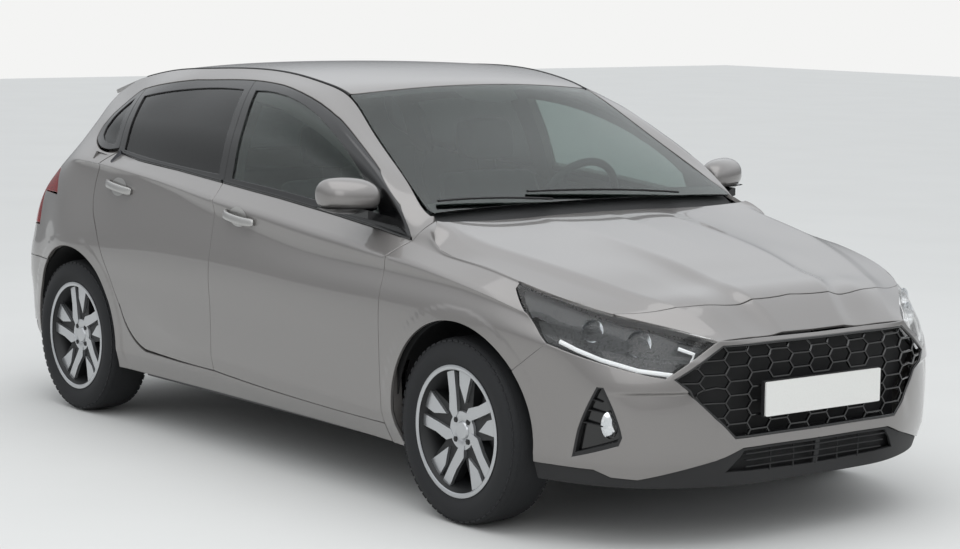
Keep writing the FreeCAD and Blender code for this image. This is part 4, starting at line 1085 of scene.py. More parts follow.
def build_doors():
    for name, low, frame_path, pane in (("front", FRONT_DOOR_LOW, FRONT_FRAME, FRONT_PANE),
                                        ("rear", REAR_DOOR_LOW, REAR_FRAME, REAR_PANE)):
        body = name + "_door_"
        loop = side(low)
        both(name + "_door_skin", panel(BODY, loop, depth=sheet_edge()), ("metallic_paint",), body,
             ("door_" + name + "_",))
        card = panel(PLAIN_BODY, side(CARDS[name], 0.0), start=24, depth=66, step=24, radius=8)
        both(name + "_door_card", card, ("cabin_plastic",), body)
        hole = side(pane, 0.0)
        both(name + "_door_frame", panel(BODY, side(frame_path), [hole], start=1.5, depth=34),
             ("gloss_black",), body)
        glass = panel(BODY, side(pane, -6.0), start=8, depth=4, radius=0.6)
        both(name + "_door_pane", glass, ("screen_glass" if name == "front" else "privacy_glass",), body,
             ("door_" + name + "_glass_",))


def hood_line(points):
    """An open line seen from above, as (u, v) on the bonnet's skin."""
    return HOOD.find(dense(points, 18, False), [0, 1])


def build_bonnet():
    rear_edge = hood_line([(892, 716)] + arc((892, 716), (900, 400), (901, 0))[1:])
    rear_edge[:, 1] = np.clip(rear_edge[:, 1], 0, 750)
    rear_edge[-1, 1] = 0.0
    nose = hood_line(arc((1849, 0), (1838, 330), (1723, 651)))
    nose[0, 1] = 0.0
    nose[-1] = (1723, 750)
    flank = np.array([[u, 750.0] for u in np.arange(1700.0, 905.0, -18.0)])
    loop = shrink(np.concatenate([rear_edge, nose, flank]), GAP)
    loop[loop[:, 1] < 8, 1] = 0.0
    show("bonnet_skin", whole(panel(HOOD, loop, depth=12)), ("metallic_paint",), "bonnet_lid",
         ("bonnet",))
    low = np.array([[1964.0, v] for v in np.arange(0.0, 741.0, 19.0)] + [[1964.0, 750.0]])
    edge = np.array([[u, 750.0] for u in np.arange(1946.0, 1730.0, -18.0)])
    band = shrink(np.concatenate([nose[::-1], low, edge]), GAP)
    band[band[:, 1] < 8, 1] = 0.0
    show("nose_panel", whole(panel(HOOD, band, depth=10)), ("metallic_paint",), "root")


def build_front_bumper():
    form = panel(BODY, bumper_loop(), [dense(FOG, 14)], depth=10, radius=3)
    show("bumper_skin", whole(form), ("metallic_paint",), "root", ("front_bumper",))
    edge = trace([(0, 322), (330, 322), (400, 296), (640, 228), (700, 234), (735, 256)], END,
                 (1700, 2620), 16)
    arch = trace([(1532, 256), (1535, 206)], SIDE, (1450, 1700), 16)
    base = np.array([[u, 205.0] for u in np.arange(1560.0, 2601.0, 20.0)])
    loop = np.concatenate([edge, arch, base])
    loop[0, 0] = NOSE_MIDDLE
    hole = BODY.find(dense([(8, 318), (322, 318), (386, 244), (8, 238)], 14), END, (1900, 2620))
    show("lower_valance", whole(panel(BODY, loop, [hole], start=6, depth=9, radius=3)),
         ("grained_plastic",), "root")


def build_rear_bumper():
    foot = trace(circle(*REAR_ARCH, 130.0, 197.0), SIDE, (-1790, -1300))
    base = np.array([[u, 300.0] for u in np.arange(-1790.0, -2711.0, -22.0)] + [[TAIL_MIDDLE, 300.0]])
    top = trace([(0, 604), (500, 604), (700, 604)], END, (-2720, -1750))
    top[0, 0] = TAIL_MIDDLE
    near = trace([(-1786, 603), (-1616, 603)], SIDE, (-1850, -1500))
    form = panel(BODY, shrink(np.concatenate([foot, base, top, near]), GAP), depth=10, radius=3)
    show("rear_bumper_skin", whole(form), ("metallic_paint",), "root", ("rear_bumper",))
    low = [[u, 214.0] for u in np.arange(-1748.0, -2711.0, -22.0)] + [[TAIL_MIDDLE, 214.0]]
    high = [[TAIL_MIDDLE, 297.0]] + [[u, 297.0] for u in np.arange(-2700.0, -1785.0, 22.0)]
    show("rear_valance", whole(panel(BODY, np.array(low + high), start=5, depth=9, radius=3)),
         ("grained_plastic",))
    strip = [spot(y, z, -1, *TAIL) for y, z in ((690, 402), (640, 400), (560, 398))]
    both("rear_reflector", tube(strip, 5, 8, flat=(4, 13, (0, 0, 1))), ("red_lens",), angle=50)


def build_tailgate():
    edge = trace([(0, 609), (497, 609)] + arc((497, 609), (545, 760), (560, 900))[1:] + [(606, 1038)]
                 + arc((606, 1038), (600, 1150), (575, 1225))[1:], END, (-2720, -1480), 18)
    edge[0, 0] = TAIL_MIDDLE
    top = np.array([[u, 1440.0] for u in np.arange(-1500.0, -2711.0, -22.0)] + [[TAIL_MIDDLE, 1440.0]])
    hole = trace([(0, 1018), (505, 1030)] + arc((505, 1030), (512, 1150), (470, 1222))[1:] + [(0, 1232)],
                 END, (-2720, -1500), 18)
    hole[0, 0] = hole[-1, 0] = TAIL_MIDDLE
    cut = np.concatenate([edge, top, hole[::-1]])
    form = panel(BODY, shrink(cut, GAP), depth=24, radius=3)
    show("tailgate_skin", whole(form), ("metallic_paint",), "tailgate_lid", ("tailgate",))
    pane = shrink(hole, -8)
    pane[np.abs(pane[:, 0] - TAIL_MIDDLE) < 12, 0] = TAIL_MIDDLE
    show("tailgate_pane", whole(panel(BODY, pane, start=5, depth=4, radius=0.6)), ("privacy_glass",),
         "tailgate_lid", ("tailgate_glass",))
    build_gate_fittings()
    flank = [[u, 575.0 * 0.985] for u in np.arange(-1336.0, -1641.0, -16.0)]
    lip = [[-1640.0, v] for v in np.arange(560.0, 0.0, -20.0)]
    loop = np.array(flank + lip + [[-1640.0, 0.0], [-1336.0, 0.0]])
    show("roof_spoiler", whole(panel(ROOF, loop, depth=16, radius=6, rows=False)), ("metallic_paint",),
         "tailgate_lid")


def rounded(half, low, high, radius):
    """A plate's outline with rounded corners, seen from the front or the rear."""
    points = []
    for turn, y, z in ((0, half - radius, high - radius), (90, radius - half, high - radius),
                       (180, radius - half, low + radius), (270, half - radius, low + radius)):
        points += [(y + radius * math.cos(math.radians(turn + a)),
                    z + radius * math.sin(math.radians(turn + a)))
                   for a in (0, 22.5, 45, 67.5, 90)]
    return np.array(points)


def build_gate_fittings():
    """The blank rear plate in its holder, the grip above it and the rear wiper."""
    top, foot = spot(0, 800, 0, *TAIL), spot(0, 680, 0, *TAIL)
    lean = (top.x - foot.x) / 120.0
    for name, outline_points, out, finish in (
            ("rear_plate_holder", rounded(268, 684, 806, 12), 5, "grained_plastic"),
            ("rear_plate", rounded(260, 690, 800, 8), 8, "plate_film")):
        form = prism(outline_points, lambda y, z, t: (foot.x + (z - 680) * lean - out + 6 * t, y, z))
        show(name, form, (finish,), "tailgate_lid", angle=30)
    grip = []
    for y in np.linspace(-190, 190, 13):
        p = spot(abs(y), 838, -4, *TAIL)
        grip.append((p.x, y, p.z))
    show("gate_grip", tube(grip, 8, 10, flat=(9, 11, (0, 0, 1))), ("gloss_black",), "tailgate_lid",
         angle=60)
    arm = []
    for y, z in ((0, 1004), (-40, 1018), (-110, 1040), (-220, 1052), (-330, 1058)):
        p = spot(abs(y), z, -9, *TAIL)
        arm.append((p.x, y, p.z))
    wiper = tube(arm, 4, 8, flat=(4, 8, (0, 0, 1)))
    hub = spun([(-10, 16), (2, 16), (8, 11), (9, 0.1)], 24)
    seat = Matrix.Translation(spot(0, 1002, -4, *TAIL)) @ Matrix.Rotation(math.pi / 2, 4, "Z")
    wiper.join(hub.moved(seat))
    show("rear_wiper", wiper, ("seal_rubber",), "tailgate_lid", angle=60)


def build_roof():
    flank = [[u, 560.0] for u in np.arange(140.0, -1331.0, -18.0)]
    rear = [[-1330.0, v] for v in np.arange(545.0, 0, -20.0)] + [[-1330.0, 0.0]]
    front = [[184.0, 0.0]] + [[184.0 - 40.0 * (v / 560.0) ** 3, v] for v in np.arange(20.0, 556.0, 20.0)]
    loop = np.array(flank + rear + front)
    show("roof_skin", whole(panel(ROOF, loop, depth=12, rows=False)), ("metallic_paint",), "root",
         ("roof_panel",))
    top = [[190.0 - 38.0 * (v / 563.0) ** 3, v] for v in np.arange(0.0, 564.0, 20.0)]
    low = [[846.0 - 12.0 * (v / 570.0) ** 2, v] for v in np.arange(560.0, -1.0, -20.0)]
    pillar = [[152.0, 566.0]] + [[u, 569.0] for u in np.arange(170.0, 830.0, 20.0)]
    glass = panel(ROOF, np.array(top + pillar + low), start=1, depth=4.5, radius=1, rows=False)
    show("windscreen_glass", whole(glass), ("screen_glass",), "root", ("windscreen",))
    rail = [ROOF.at([u], [568.0])[0] for u in np.arange(150.0, -1330.0, -30.0)]
    both("roof_ditch", tube([(p[0], -p[1], p[2] - 3) for p in rail], 6, 6), ("seal_rubber",))


def build_quarters():
    hole = side(QUARTER_PANE, 0.0)
    both("quarter_trim", panel(BODY, side(QUARTER_TRIM, 2.0), [hole], start=1.5, depth=12),
         ("gloss_black",))
    both("quarter_pane", panel(BODY, side(QUARTER_PANE, -5.0), start=7, depth=4, radius=0.6),
         ("privacy_glass",), replaced=("quarter_glass",))


def place(skin, u, v, depth=0.0):
    """A point of a skin, set in by a depth, on the right-hand side."""
    p = skin.at([u], [v])[0] - skin.normal([u], [v])[0] * depth
    return Vector((p[0], -p[1], p[2]))


def spot(x, z, depth=0.0, axes=SIDE, span=None):
    """The place of the body skin at a side view (x, z) or an end view (y, z), set in by a depth."""
    u, v = BODY.find([(x, z)], axes, span)[0]
    return place(BODY, u, v, depth)


# Where spot() looks: the axes it is given and the stretch of the body
NOSE = (END, (1850, 2620))
TAIL = (END, (-2720, -1750))
LAMP = (SIDE, (1500, 2200))


def loft(rings):
    """A closed form through rings of equal count, given as lists of points."""
    count = len(rings[0])
    form = Form()
    faces = []
    for r in range(len(rings) - 1):
        for k in range(count):
            m = (k + 1) % count
            faces.append((r * count + k, r * count + m, (r + 1) * count + m, (r + 1) * count + k))
    faces.append(tuple(reversed(range(count))))
    faces.append(tuple(range((len(rings) - 1) * count, len(rings) * count)))
    form.add([p for ring in rings for p in ring], faces)
    return form


TYRE_PROFILE = [(-70, 204), (-84, 206), (-84, 221), (-93, 236), (-97, 262), (-91, 286), (-80, 302),
                (-66, 306.5), (-40, 309), (0, 310), (40, 309), (66, 306.5), (80, 302), (91, 286),
                (97, 262), (93, 236), (84, 221), (84, 206), (70, 204)]
WHEEL_PLACES = (("front", FRONT_AXLE), ("rear", REAR_AXLE))
# Tread blocks round the tyre, and across it: place, half length, half width, slant
TREAD_ROWS = 60
TREAD_BLOCKS = ((-77, 11, 9, 0.2), (-52, 10.5, 10, 0.7), (-24, 10, 10, 0.9), (0, 9, 7, 0.0),
                (24, 10, 10, -0.9), (52, 10.5, 10, -0.7), (77, 11, 9, -0.2))
SPOKES = 5
WHEEL_NUTS = 4
NUT_CIRCLE = 46.0
FACE_Y = 70.0
SPOKE_TIP = 205.0


def tread_block(across, turn, long, wide, slant):
    """One block of the tread as a low wedge on the tyre's crown, turned about the axle."""
    form = Form()
    base = 306.5 - 0.0009 * across * across - (3.2 if abs(across) > 60 else 0)
    top = base + bpy.context.scene.hatchback_sizes.tread / MM
    points = []
    for r in (base - 3, top):
        for a, w in ((-long, -wide), (long, -wide), (long, wide), (-long, wide)):
            angle = turn + (a + slant * w) / 310.0
            points.append((r * math.cos(angle), across + w, r * math.sin(angle)))
    form.add(points, [(4, 5, 6, 7), (0, 1, 5, 4), (1, 2, 6, 5), (2, 3, 7, 6), (3, 0, 4, 7)])
    return form


def tyre_form():
    form = spun(TYRE_PROFILE, 96)
    for k in range(TREAD_ROWS):
        turn = 2 * math.pi * k / TREAD_ROWS
        for across, long, wide, slant in TREAD_BLOCKS:
            form.join(tread_block(across, turn + 0.02 * (across / 77.0), long, wide, slant))
    return form


def rim_form():
    """Barrel and bright lip; spoke_forms makes the five turbine spokes: a broad bar, a kite beside it, dark
    pockets between.
    """
    barrel = [(-86, 219), (-88, 211), (-74, 197), (-30, 179), (20, 179), (60, 194), (80, 205), (87, 210),
              (88.3, 215), (86, 219.5), (84, 217), (84, 206), (60, 202), (20, 187), (-30, 187),
              (-60, 203), (-84, 206), (-84, 219)]
    lip = [(86.5, 204), (88.5, 207), (89, 213), (87.5, 219.8), (85.5, 219.8), (85.5, 204), (86.5, 204)]
    return spun(barrel + barrel[:1], 90), spun(lip, 90)


def spoke_forms():
    """The turned bright faces and the dark webs behind them, seen from outside with y outward."""
    bright, dark = Form(), Form()
    bar = [(30, 40), (54, 22), (120, 26), (205, 34), (206, 74), (120, 62), (62, 64)]
    kite = [(92, -18), (150, -40), (206, -62), (207, 8), (150, 8)]
    web = [(28, -40), (120, -52), (207, -66), (207, 72), (110, 64), (40, 52)]
    for k in range(SPOKES):
        turn = math.radians(90 + 360 / SPOKES * k)
        for path, face, back, target in ((bar, 0.0, 14.0, bright), (kite, -2.0, 12.0, bright),
                                         (web, -13.0, 34.0, dark)):
            def lift(r, s, t, face=face, back=back):
                length = math.hypot(r, s)
                y = FACE_Y + face - 10.0 * (1 - min(length, SPOKE_TIP) / SPOKE_TIP) - t * back
                a = turn + math.atan2(s, r)
                return (length * math.cos(a), y, length * math.sin(a))
            target.join(prism(path, lift))
    bright.join(spun([(52, 66), (60, 64), (61, 40), (57, 31), (61, 29), (63, 27), (64, 0.1)], 48))
    dark.join(spun([(30, 72), (50, 70), (58, 50), (56, 30), (56, 0.1)], 48))
    for k in range(WHEEL_NUTS):
        a = math.pi / 4 + k * 2 * math.pi / WHEEL_NUTS
        nut = spun([(50, 11), (63, 10), (65, 6), (65, 0.1)], 6)
        dark.join(nut.moved(Matrix.Translation((NUT_CIRCLE * math.cos(a), 0, NUT_CIRCLE * math.sin(a)))))
    return bright, dark


def build_wheels():
    tyre = tyre_form()
    barrel, lip = rim_form()
    bright, dark = spoke_forms()
    disc = spun([(-5, 60), (-5, 139), (-3, 140), (5, 140), (7, 139), (7, 76), (9, 70), (40, 68),
                 (42, 60), (42, 0.1)], 64)
    for end, x in WHEEL_PLACES:
        for hand, way in (("right", -1.0), ("left", 1.0)):
            body = "wheel_" + end + "_" + hand
            seat = Matrix.Translation((x, way * WHEEL_Y, HUB_Z)) @ Matrix.Diagonal((1.0, way, 1.0, 1.0))
            show(body + "_tyre", tyre.moved(seat), ("tyre_rubber",), body, ("tyre_" + end + "_" + hand,),
                 angle=40)
            show(body + "_barrel", barrel.moved(seat), ("pocket_grey",), body,
                 ("rim_" + end + "_" + hand,), angle=40)
            show(body + "_lip", lip.moved(seat), ("alloy_lacquer",), body, angle=40)
            show(body + "_spokes", bright.moved(seat), ("alloy_lacquer",), body, angle=30)
            show(body + "_pockets", dark.moved(seat), ("pocket_grey",), body, angle=30)
            show(body + "_disc", disc.moved(seat), ("cast_iron",), body, angle=40)


def build_grille():
    edge = np.array([(0, 657), (406, 657), (566, 555), (364, 358), (-364, 358), (-566, 555), (-406, 657)],
                    float)
    inner = shrink(edge, 5)
    form = Form()
    width, height = 104.0, 46.0
    for r in range(-6, 7):
        for c in range(-8, 9):
            cy = c * width * 0.84
            cz = 497.0 + (r + 0.5 * (c % 2)) * height
            points = [(cy - 0.34 * width, cz), (cy + 0.34 * width, cz),
                      (cy + 0.5 * width, cz + height * 0.5), (cy + 0.34 * width, cz + height)]
            for (ay, az), (by, bz) in zip(points, points[1:]):
                if not inside(np.array([(ay, az), (by, bz)]), inner).any():
                    continue
                a, b = np.array([ay, az]), np.array([by, bz])
                for _ in range(14):
                    if not inside(np.array([a]), inner)[0]:
                        a = a + (b - a) * 0.09
                    if not inside(np.array([b]), inner)[0]:
                        b = b + (a - b) * 0.09
                if abs(a[0]) < 262 and abs(b[0]) < 262 and 420 < (a[1] + b[1]) / 2 < 535:
                    continue
                line = []
                for q in (a, (a + b) / 2, b):
                    p = spot(abs(q[0]), q[1], 12, *NOSE)
                    line.append((p.x, q[0], p.z))
                form.join(tube(line, 3, 6, flat=(5.0, 4.2, (0, 0, 1))))
    show("grille_lattice", form, ("gloss_black",), angle=50)
    rim = []
    for y, z in dense(shrink(edge, 4), 30):
        p = spot(abs(y), z, 5, *NOSE)
        rim.append((p.x, y, p.z))
    show("grille_frame", tube(rim, 5, 8, closed=True), ("gloss_black",), angle=60)
    back = prism(shrink(edge, 2), lambda y, z, t: (spot(abs(y), z, 60, *NOSE).x - 8 * t, y, z))
    show("grille_back", back, ("seal_rubber",), "root", ("front_grille",), angle=30)
    plate = np.array([(-262, 420), (262, 420), (262, 534), (-262, 534)], float)
    show("plate_holder", prism(plate, lambda y, z, t: (2010 - 12 * t, y, z)), ("grained_plastic",),
         angle=30)
    blank = []
    for turn, cy, cz in ((0, 252, 528), (90, -252, 528), (180, -252, 426), (270, 252, 426)):
        for k in range(5):
            a = math.radians(turn + 22.5 * k)
            blank.append((cy + 8 * math.cos(a), cz + 4 * math.sin(a)))
    show("plate_blank", prism(blank, lambda y, z, t: (2018 - 6 * t, y, z)), ("plate_film",), "root",
         ("number_plate",), angle=30)
    bars = Form()
    for z in (262, 284, 305):
        half = 318 + (z - 318) * 0.2
        line = [(spot(abs(y), z, 8, *NOSE).x, y, z) for y in np.linspace(-half, half, 15)]
        bars.join(tube(line, 3, 6, flat=(5, 3, (0, 0, 1))))
    for y in (-200, -100, 0, 100, 200):
        x = spot(abs(y), 280, 12, *NOSE).x
        bars.join(tube([(x, y, 240), (x, y, 320)], 3, 6))
    show("intake_bars", bars, ("grained_plastic",), "root", ("lower_intake",), angle=50)
    intake = prism(dense([(-372, 334), (372, 334), (440, 226), (-440, 226)], 40),
                   lambda y, z, t: (spot(abs(y), z, 34, *NOSE).x - 6 * t, y, z))
    show("intake_back", intake, ("seal_rubber",), angle=30)


def build_lamps():
    loop = lamp_loop()
    both("head_lamp_lens", panel(BODY, loop, start=1.5, depth=3.0, radius=1.2), ("clear_lens",),
         replaced=("head_lamps",))
    both("head_lamp_housing", panel(PLAIN_BODY, shrink(loop, 9), start=34, depth=5, radius=2),
         ("lamp_housing",))
    guide = [(1930, 566), (1850, 583), (1760, 612), (1690, 640), (1632, 664)]
    line = [spot(x, z, 14, *LAMP) for x, z in guide]
    both("lamp_guide", tube(line, 5, 8, flat=(5, 7, (0, 0, 1))), ("light_guide",))
    corner = ((1930, 566), (1942, 600), (1936, 634), (1900, 652))
    up = [spot(x, z, 14, SIDE, (1500, 2300)) for x, z in corner]
    both("lamp_guide_corner", tube(up, 5, 8, flat=(5, 6, (0, 0, 1))), ("light_guide",))
    bowls = Form()
    caps = Form()
    for x, z, r in ((1822, 665, 40), (1712, 700, 34)):
        p = spot(x, z, 14, *LAMP)
        axis = Vector((0.94, -0.3, 0.05)).normalized()
        turn = Vector((0, 1, 0)).rotation_difference(axis).to_matrix().to_4x4()
        seat = Matrix.Translation(p - axis * 4) @ turn
        bowl = spun([(-34, 8), (-28, r * 0.6), (-16, r * 0.85), (0, r), (2, r + 2), (-3, r + 2),
                     (-20, r * 0.88), (-36, 8)], 40)
        bowls.join(bowl.moved(seat))
        caps.join(spun([(-36, 16), (-24, 15), (-14, 8), (-12, 0.1)], 24).moved(seat))
    both("lamp_bowls", bowls, ("reflector",), angle=50)
    both("lamp_projectors", caps, ("clear_lens",), angle=50)
    tail = trace([(-1752, 742), (-1762, 878), (-1560, 883), (-1602, 983), (-1655, 983)], SIDE,
                 (-1850, -1400), 18)
    gate = trace([(640, 990), (608, 1030), (560, 900), (548, 745)], END, (-2100, -1500), 18)
    lamp = shrink(np.concatenate([tail, gate]), GAP)
    both("tail_lamp_lens", panel(BODY, lamp, start=0, depth=4, radius=2), ("red_lens",),
         replaced=("tail_lamps",))
    both("tail_lamp_housing", panel(PLAIN_BODY, shrink(lamp, 6), start=22, depth=5), ("lamp_housing",))
    hole = dense(FOG, 14)
    both("fog_bezel", panel(BODY, shrink(hole, -1), [shrink(hole, 9)], start=2, depth=26, radius=2),
         ("grained_plastic",), replaced=("fog_surrounds",))
    both("fog_back", panel(PLAIN_BODY, shrink(hole, 3), start=26, depth=5), ("gloss_black",))
    fins = Form()
    for v, near, far in ((480, 1770, 1800), (430, 1752, 1806), (380, 1728, 1800)):
        fins.join(tube([place(BODY, near, v, 14), place(BODY, far, v - 14, 20)], 3, 6,
                       flat=(8, 2.5, (0, 0, 1))))
    both("fog_fins", fins, ("grained_plastic",), angle=50)
    centre = place(BODY, 1826, 372, 14)
    aim = Vector((0, 1, 0)).rotation_difference(Vector((0.86, -0.5, 0)).normalized()).to_matrix().to_4x4()
    seat = Matrix.Translation(centre) @ aim @ Matrix.Diagonal((0.8, 1.0, 1.25, 1.0))
    both("fog_lamp", spun([(-12, 34), (-2, 35), (3, 31), (6, 18), (7, 0.1)], 32).moved(seat),
         ("clear_lens",), angle=50)
    both("fog_reflector", spun([(-14, 30), (-8, 24), (-10, 8), (-11, 0.1)], 32).moved(seat),
         ("reflector",), angle=50)


def build_mirrors():
    """A shell with a crowned face, its dark lower half, and a foot on the door's corner."""
    rings = []
    count = 28
    spine = ((776, 0.52), (795, 0.80), (830, 0.97), (880, 1.0), (925, 0.95), (955, 0.82), (971, 0.55),
             (974.5, 0.2))
    for y, grow in spine:
        ring = []
        for k in range(count):
            a = 2 * math.pi * k / count
            c, s = math.cos(a), math.sin(a)
            reach = c * 0.95 if c > 0 else c * 0.72
            x = 612 - (y - 780) * 0.26 + grow * 82 * reach * (1 - 0.12 * max(s, 0))
            z = 1036 + (y - 800) * 0.05 + grow * (64 if s > 0 else 62) * math.copysign(abs(s) ** 0.78, s)
            ring.append((x, -y, z))
        rings.append(ring)
    both("mirror_shell", loft(rings), ("metallic_paint",), "front_door_", ("mirror_",), angle=60, sub=1)
    low = [[(x + (3 if x > 600 else -1), y, min(z, 1002) - 2) for x, y, z in ring]
           for ring in rings[1:-1]]
    both("mirror_lower", loft(low), ("gloss_black",), "front_door_", angle=60)
    foot = [[(648 + dx, -y, z0 + dz) for dx, dz in ((-52, -12), (44, -16), (44, 12), (-52, 16))]
            for y, z0 in ((764, 958), (800, 968), (860, 984))]
    both("mirror_foot", loft(foot), ("gloss_black",), "front_door_", angle=40, sub=0)
    face = []
    for k in range(28):
        a = 2 * math.pi * k / 28
        face.append((math.cos(a) * 78, math.sin(a) * 42))
    pane = prism(face, lambda a, b, t: (548 - 3 * t - a * 0.2, -(875 + a), 1038 + b))
    both("mirror_glass", pane, ("chrome",), "front_door_", angle=30)


def build_handles():
    for name, x, z, body in (("front", -120, 903, "front_door_"), ("rear", -1026, 946, "rear_door_")):
        bends = ((-100, 12, 3), (-86, 11, -18), (-40, 5, -30), (30, -3, -30), (84, -9, -20), (98, -11, 2))
        line = [spot(x + dx, z + dz, d) for dx, dz, d in bends]
        both(name + "_handle", tube(line, 9, 12, flat=(15, 8, (0.1, -1, 0.1))), ("satin_silver",), body,
             angle=60, sub=1)
        cup = [(x - 12 + 62 * math.cos(a), z + 2 + 36 * math.sin(a))
               for a in np.linspace(0, 2 * math.pi, 29)[:-1]]
        loop = BODY.find(cup, SIDE, (-1500, 900))
        rings = []
        for share, depth in ((1.0, -1.2), (0.86, 1.0), (0.6, 2.0), (0.05, 2.4)):
            middle = loop.mean(0)
            rings.append([tuple(place(BODY, *(middle + (q - middle) * share), depth)) for q in loop])
        both(name + "_handle_cup", loft(rings), ("satin_silver",), body, angle=60)


def build_trim():
    for end, xs, body in (("front", (836, 780, 659, 424, 239, 47, -152, -338), "front_door_"),
                          ("rear", (-352, -662, -963, -1160), "rear_door_")):
        line = [spot(x, belt_z(x) + 4, -1.5) for x in xs]
        both(end + "_belt_moulding", tube(line, 4, 8, flat=(3.0, 6, (0, 0, 1))), ("gloss_black",), body)
    top = [[204.0 - 38.0 * (v / 563.0) ** 3, v] for v in np.arange(0.0, 560.0, 20.0)]
    low = [[300 - 30 * (v / 130.0) ** 2 if v < 130 else 222.0 - 38 * (v / 563.0) ** 3, v]
           for v in np.arange(540.0, -1.0, -20.0)]
    show("windscreen_frit", whole(panel(ROOF, np.array(top + low), start=6, depth=1.5, radius=0.4,
                                        rows=False)), ("frit",))
    low = [[838.0 - 12.0 * (v / 570.0) ** 2, v] for v in np.arange(0.0, 561.0, 20.0)]
    high = [[800.0 - 20.0 * (v / 570.0) ** 2, v] for v in np.arange(560.0, -1.0, -20.0)]
    show("windscreen_base", whole(panel(ROOF, np.array(low + high), start=6, depth=1.5, radius=0.4,
                                        rows=False)), ("frit",))
    wipers = Form()
    for pivot, tip, lift in (((845, -420), (800, 250), 12), ((850, 180), (795, 640), 12)):
        line = []
        for t in np.linspace(0, 1, 9):
            x = pivot[0] + (tip[0] - pivot[0]) * t
            y = pivot[1] + (tip[1] - pivot[1]) * t
            p = ROOF.at([x], [abs(y) / 708.0 * 575.0])[0]
            line.append((x, -y, p[2] + lift + 4 * math.sin(math.pi * t)))
        wipers.join(tube(line, 5, 6, flat=(9, 4, (0, 0, 1))))
    show("wipers", wipers, ("seal_rubber",), angle=60)


CARRIED = {
    "floor_pan": "chassis_steel", "arch_liners": "felt_liner", "front_subframe": "chassis_steel",
    "rear_axle": "chassis_steel", "exhaust": "exhaust_steel", "drive_shafts": "chassis_steel",
    "engine_block": "cast_iron", "dashboard": "cabin_plastic", "cowl_panel": "grained_plastic",
    "front_knuckle_right": "cast_iron", "front_knuckle_left": "cast_iron",
    "steering_wheel": "cabin_plastic",
}


def dress_frame():
    """Gives the solids that stay visible the finish of the real piece."""
    for name, finish in CARRIED.items():
        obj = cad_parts[name]
        if not obj.material_slots:
            obj.data.materials.append(finish_named(finish))
        for slot in obj.material_slots:
            slot.material = finish_named(finish)


def cushion(profile, y, half, crown, seams=()):
    """A stuffed form: a side profile swept across its width, pulled in at its ends and seams."""
    loop = dense(outline(profile), 22)
    rings = []
    for t in np.linspace(-1, 1, 27):
        across = t * half
        pull = crown * (1 - t * t) - 26 * max(0.0, abs(t) - 0.86) / 0.14 * max(0.0, abs(t) - 0.86) / 0.14
        for seam in seams:
            pull -= 7.0 * math.exp(-((across - seam) / 7.0) ** 2)
        ring = shrink(loop, -pull + 8)
        rings.append([(x, y + across, z) for x, z in ring])
    return loft(rings)


def build_seats():
    swell = bpy.context.scene.hatchback_sizes.crown / MM
    x = -20.0
    seat = [(x + 465, 375), (x + 478, 455), ((x + 250, 488), (x + 10, 440)), (x - 5, 370),
            ((x + 220, 350), (x + 465, 375))]
    back = [(x - 10, 450), ((x - 60, 720), (x - 165, 1000)), ((x - 205, 1022), (x - 250, 1000)),
            ((x - 190, 700), (x - 125, 420))]
    head = [(x - 170, 1065), ((x - 168, 1140), (x - 198, 1212)), ((x - 240, 1228), (x - 276, 1208)),
            ((x - 286, 1140), (x - 262, 1068))]
    for hand, y in (("right", -370.0), ("left", 370.0)):
        for name, path, half, crown, seams, fill in (
                ("cushion", seat, 245, swell, (-130, 130), 0.6),
                ("backrest", back, 240, swell, (-125, 125), 0.6),
                ("headrest", head, 122, swell, (), 0.8)):
            pad = show("front_seat_" + name + "_" + hand, cushion(path, y, half, crown, seams),
                       ("seat_cloth",), "root", ("front_seats",), angle=80, sub=1)
        posts = Form()
        for side_y in (-45, 45):
            posts.join(tube([(x - 205, y + side_y, 985), (x - 226, y + side_y, 1080)], 6, 10))
        posts.join(tube([(x + 60, y - 190, 235), (x + 60, y - 190, 360)], 14, 8))
        for sx in (60, 400):
            for sy in (-190, 190):
                posts.join(tube([(x + sx, y + sy, 212), (x + sx, y + sy, 372)], 16, 10))
        show("front_seat_frame_" + hand, posts, ("chassis_steel",), angle=50)
    x = -900.0
    seat = [(x + 400, 240), (x + 405, 430), ((x + 200, 465), (x - 10, 425)), (x - 20, 250)]
    back = [(x - 30, 440), ((x - 95, 700), (x - 195, 975)), ((x - 235, 990), (x - 275, 975)),
            ((x - 235, 700), (x - 190, 430))]
    head = [(x - 200, 1010), (x - 232, 1155), ((x - 265, 1165), (x - 295, 1150)), (x - 282, 1010)]
    for name, path, half, crown, seams in (("cushion", seat, 585, 8, (-190, 190)),
                                           ("backrest", back, 535, 8, (-180, 180))):
        pad = show("rear_seat_" + name, cushion(path, 0.0, half, crown, seams), ("seat_cloth",), "root",
                   ("rear_bench",), angle=80, sub=1)
    for hand, y in (("right", -330.0), ("left", 330.0)):
        pad = show("rear_headrest_" + hand, cushion(head, y, 112, 8), ("seat_cloth",), angle=80, sub=1)


# The camera as solved on the photograph: metres, degrees of azimuth, pitch and roll, millimetres of lens
CAMERA_PLACE = (7.4037, -5.5905, 1.7868)
CAMERA_TURN = (52.15, 6.99, 0.60)
CAMERA_LENS = 90.9
CAMERA_SENSOR = 36.0
FLOOR_HALF = 30.0
LIGHTS_AIM = (0.3, 0, 0.6)


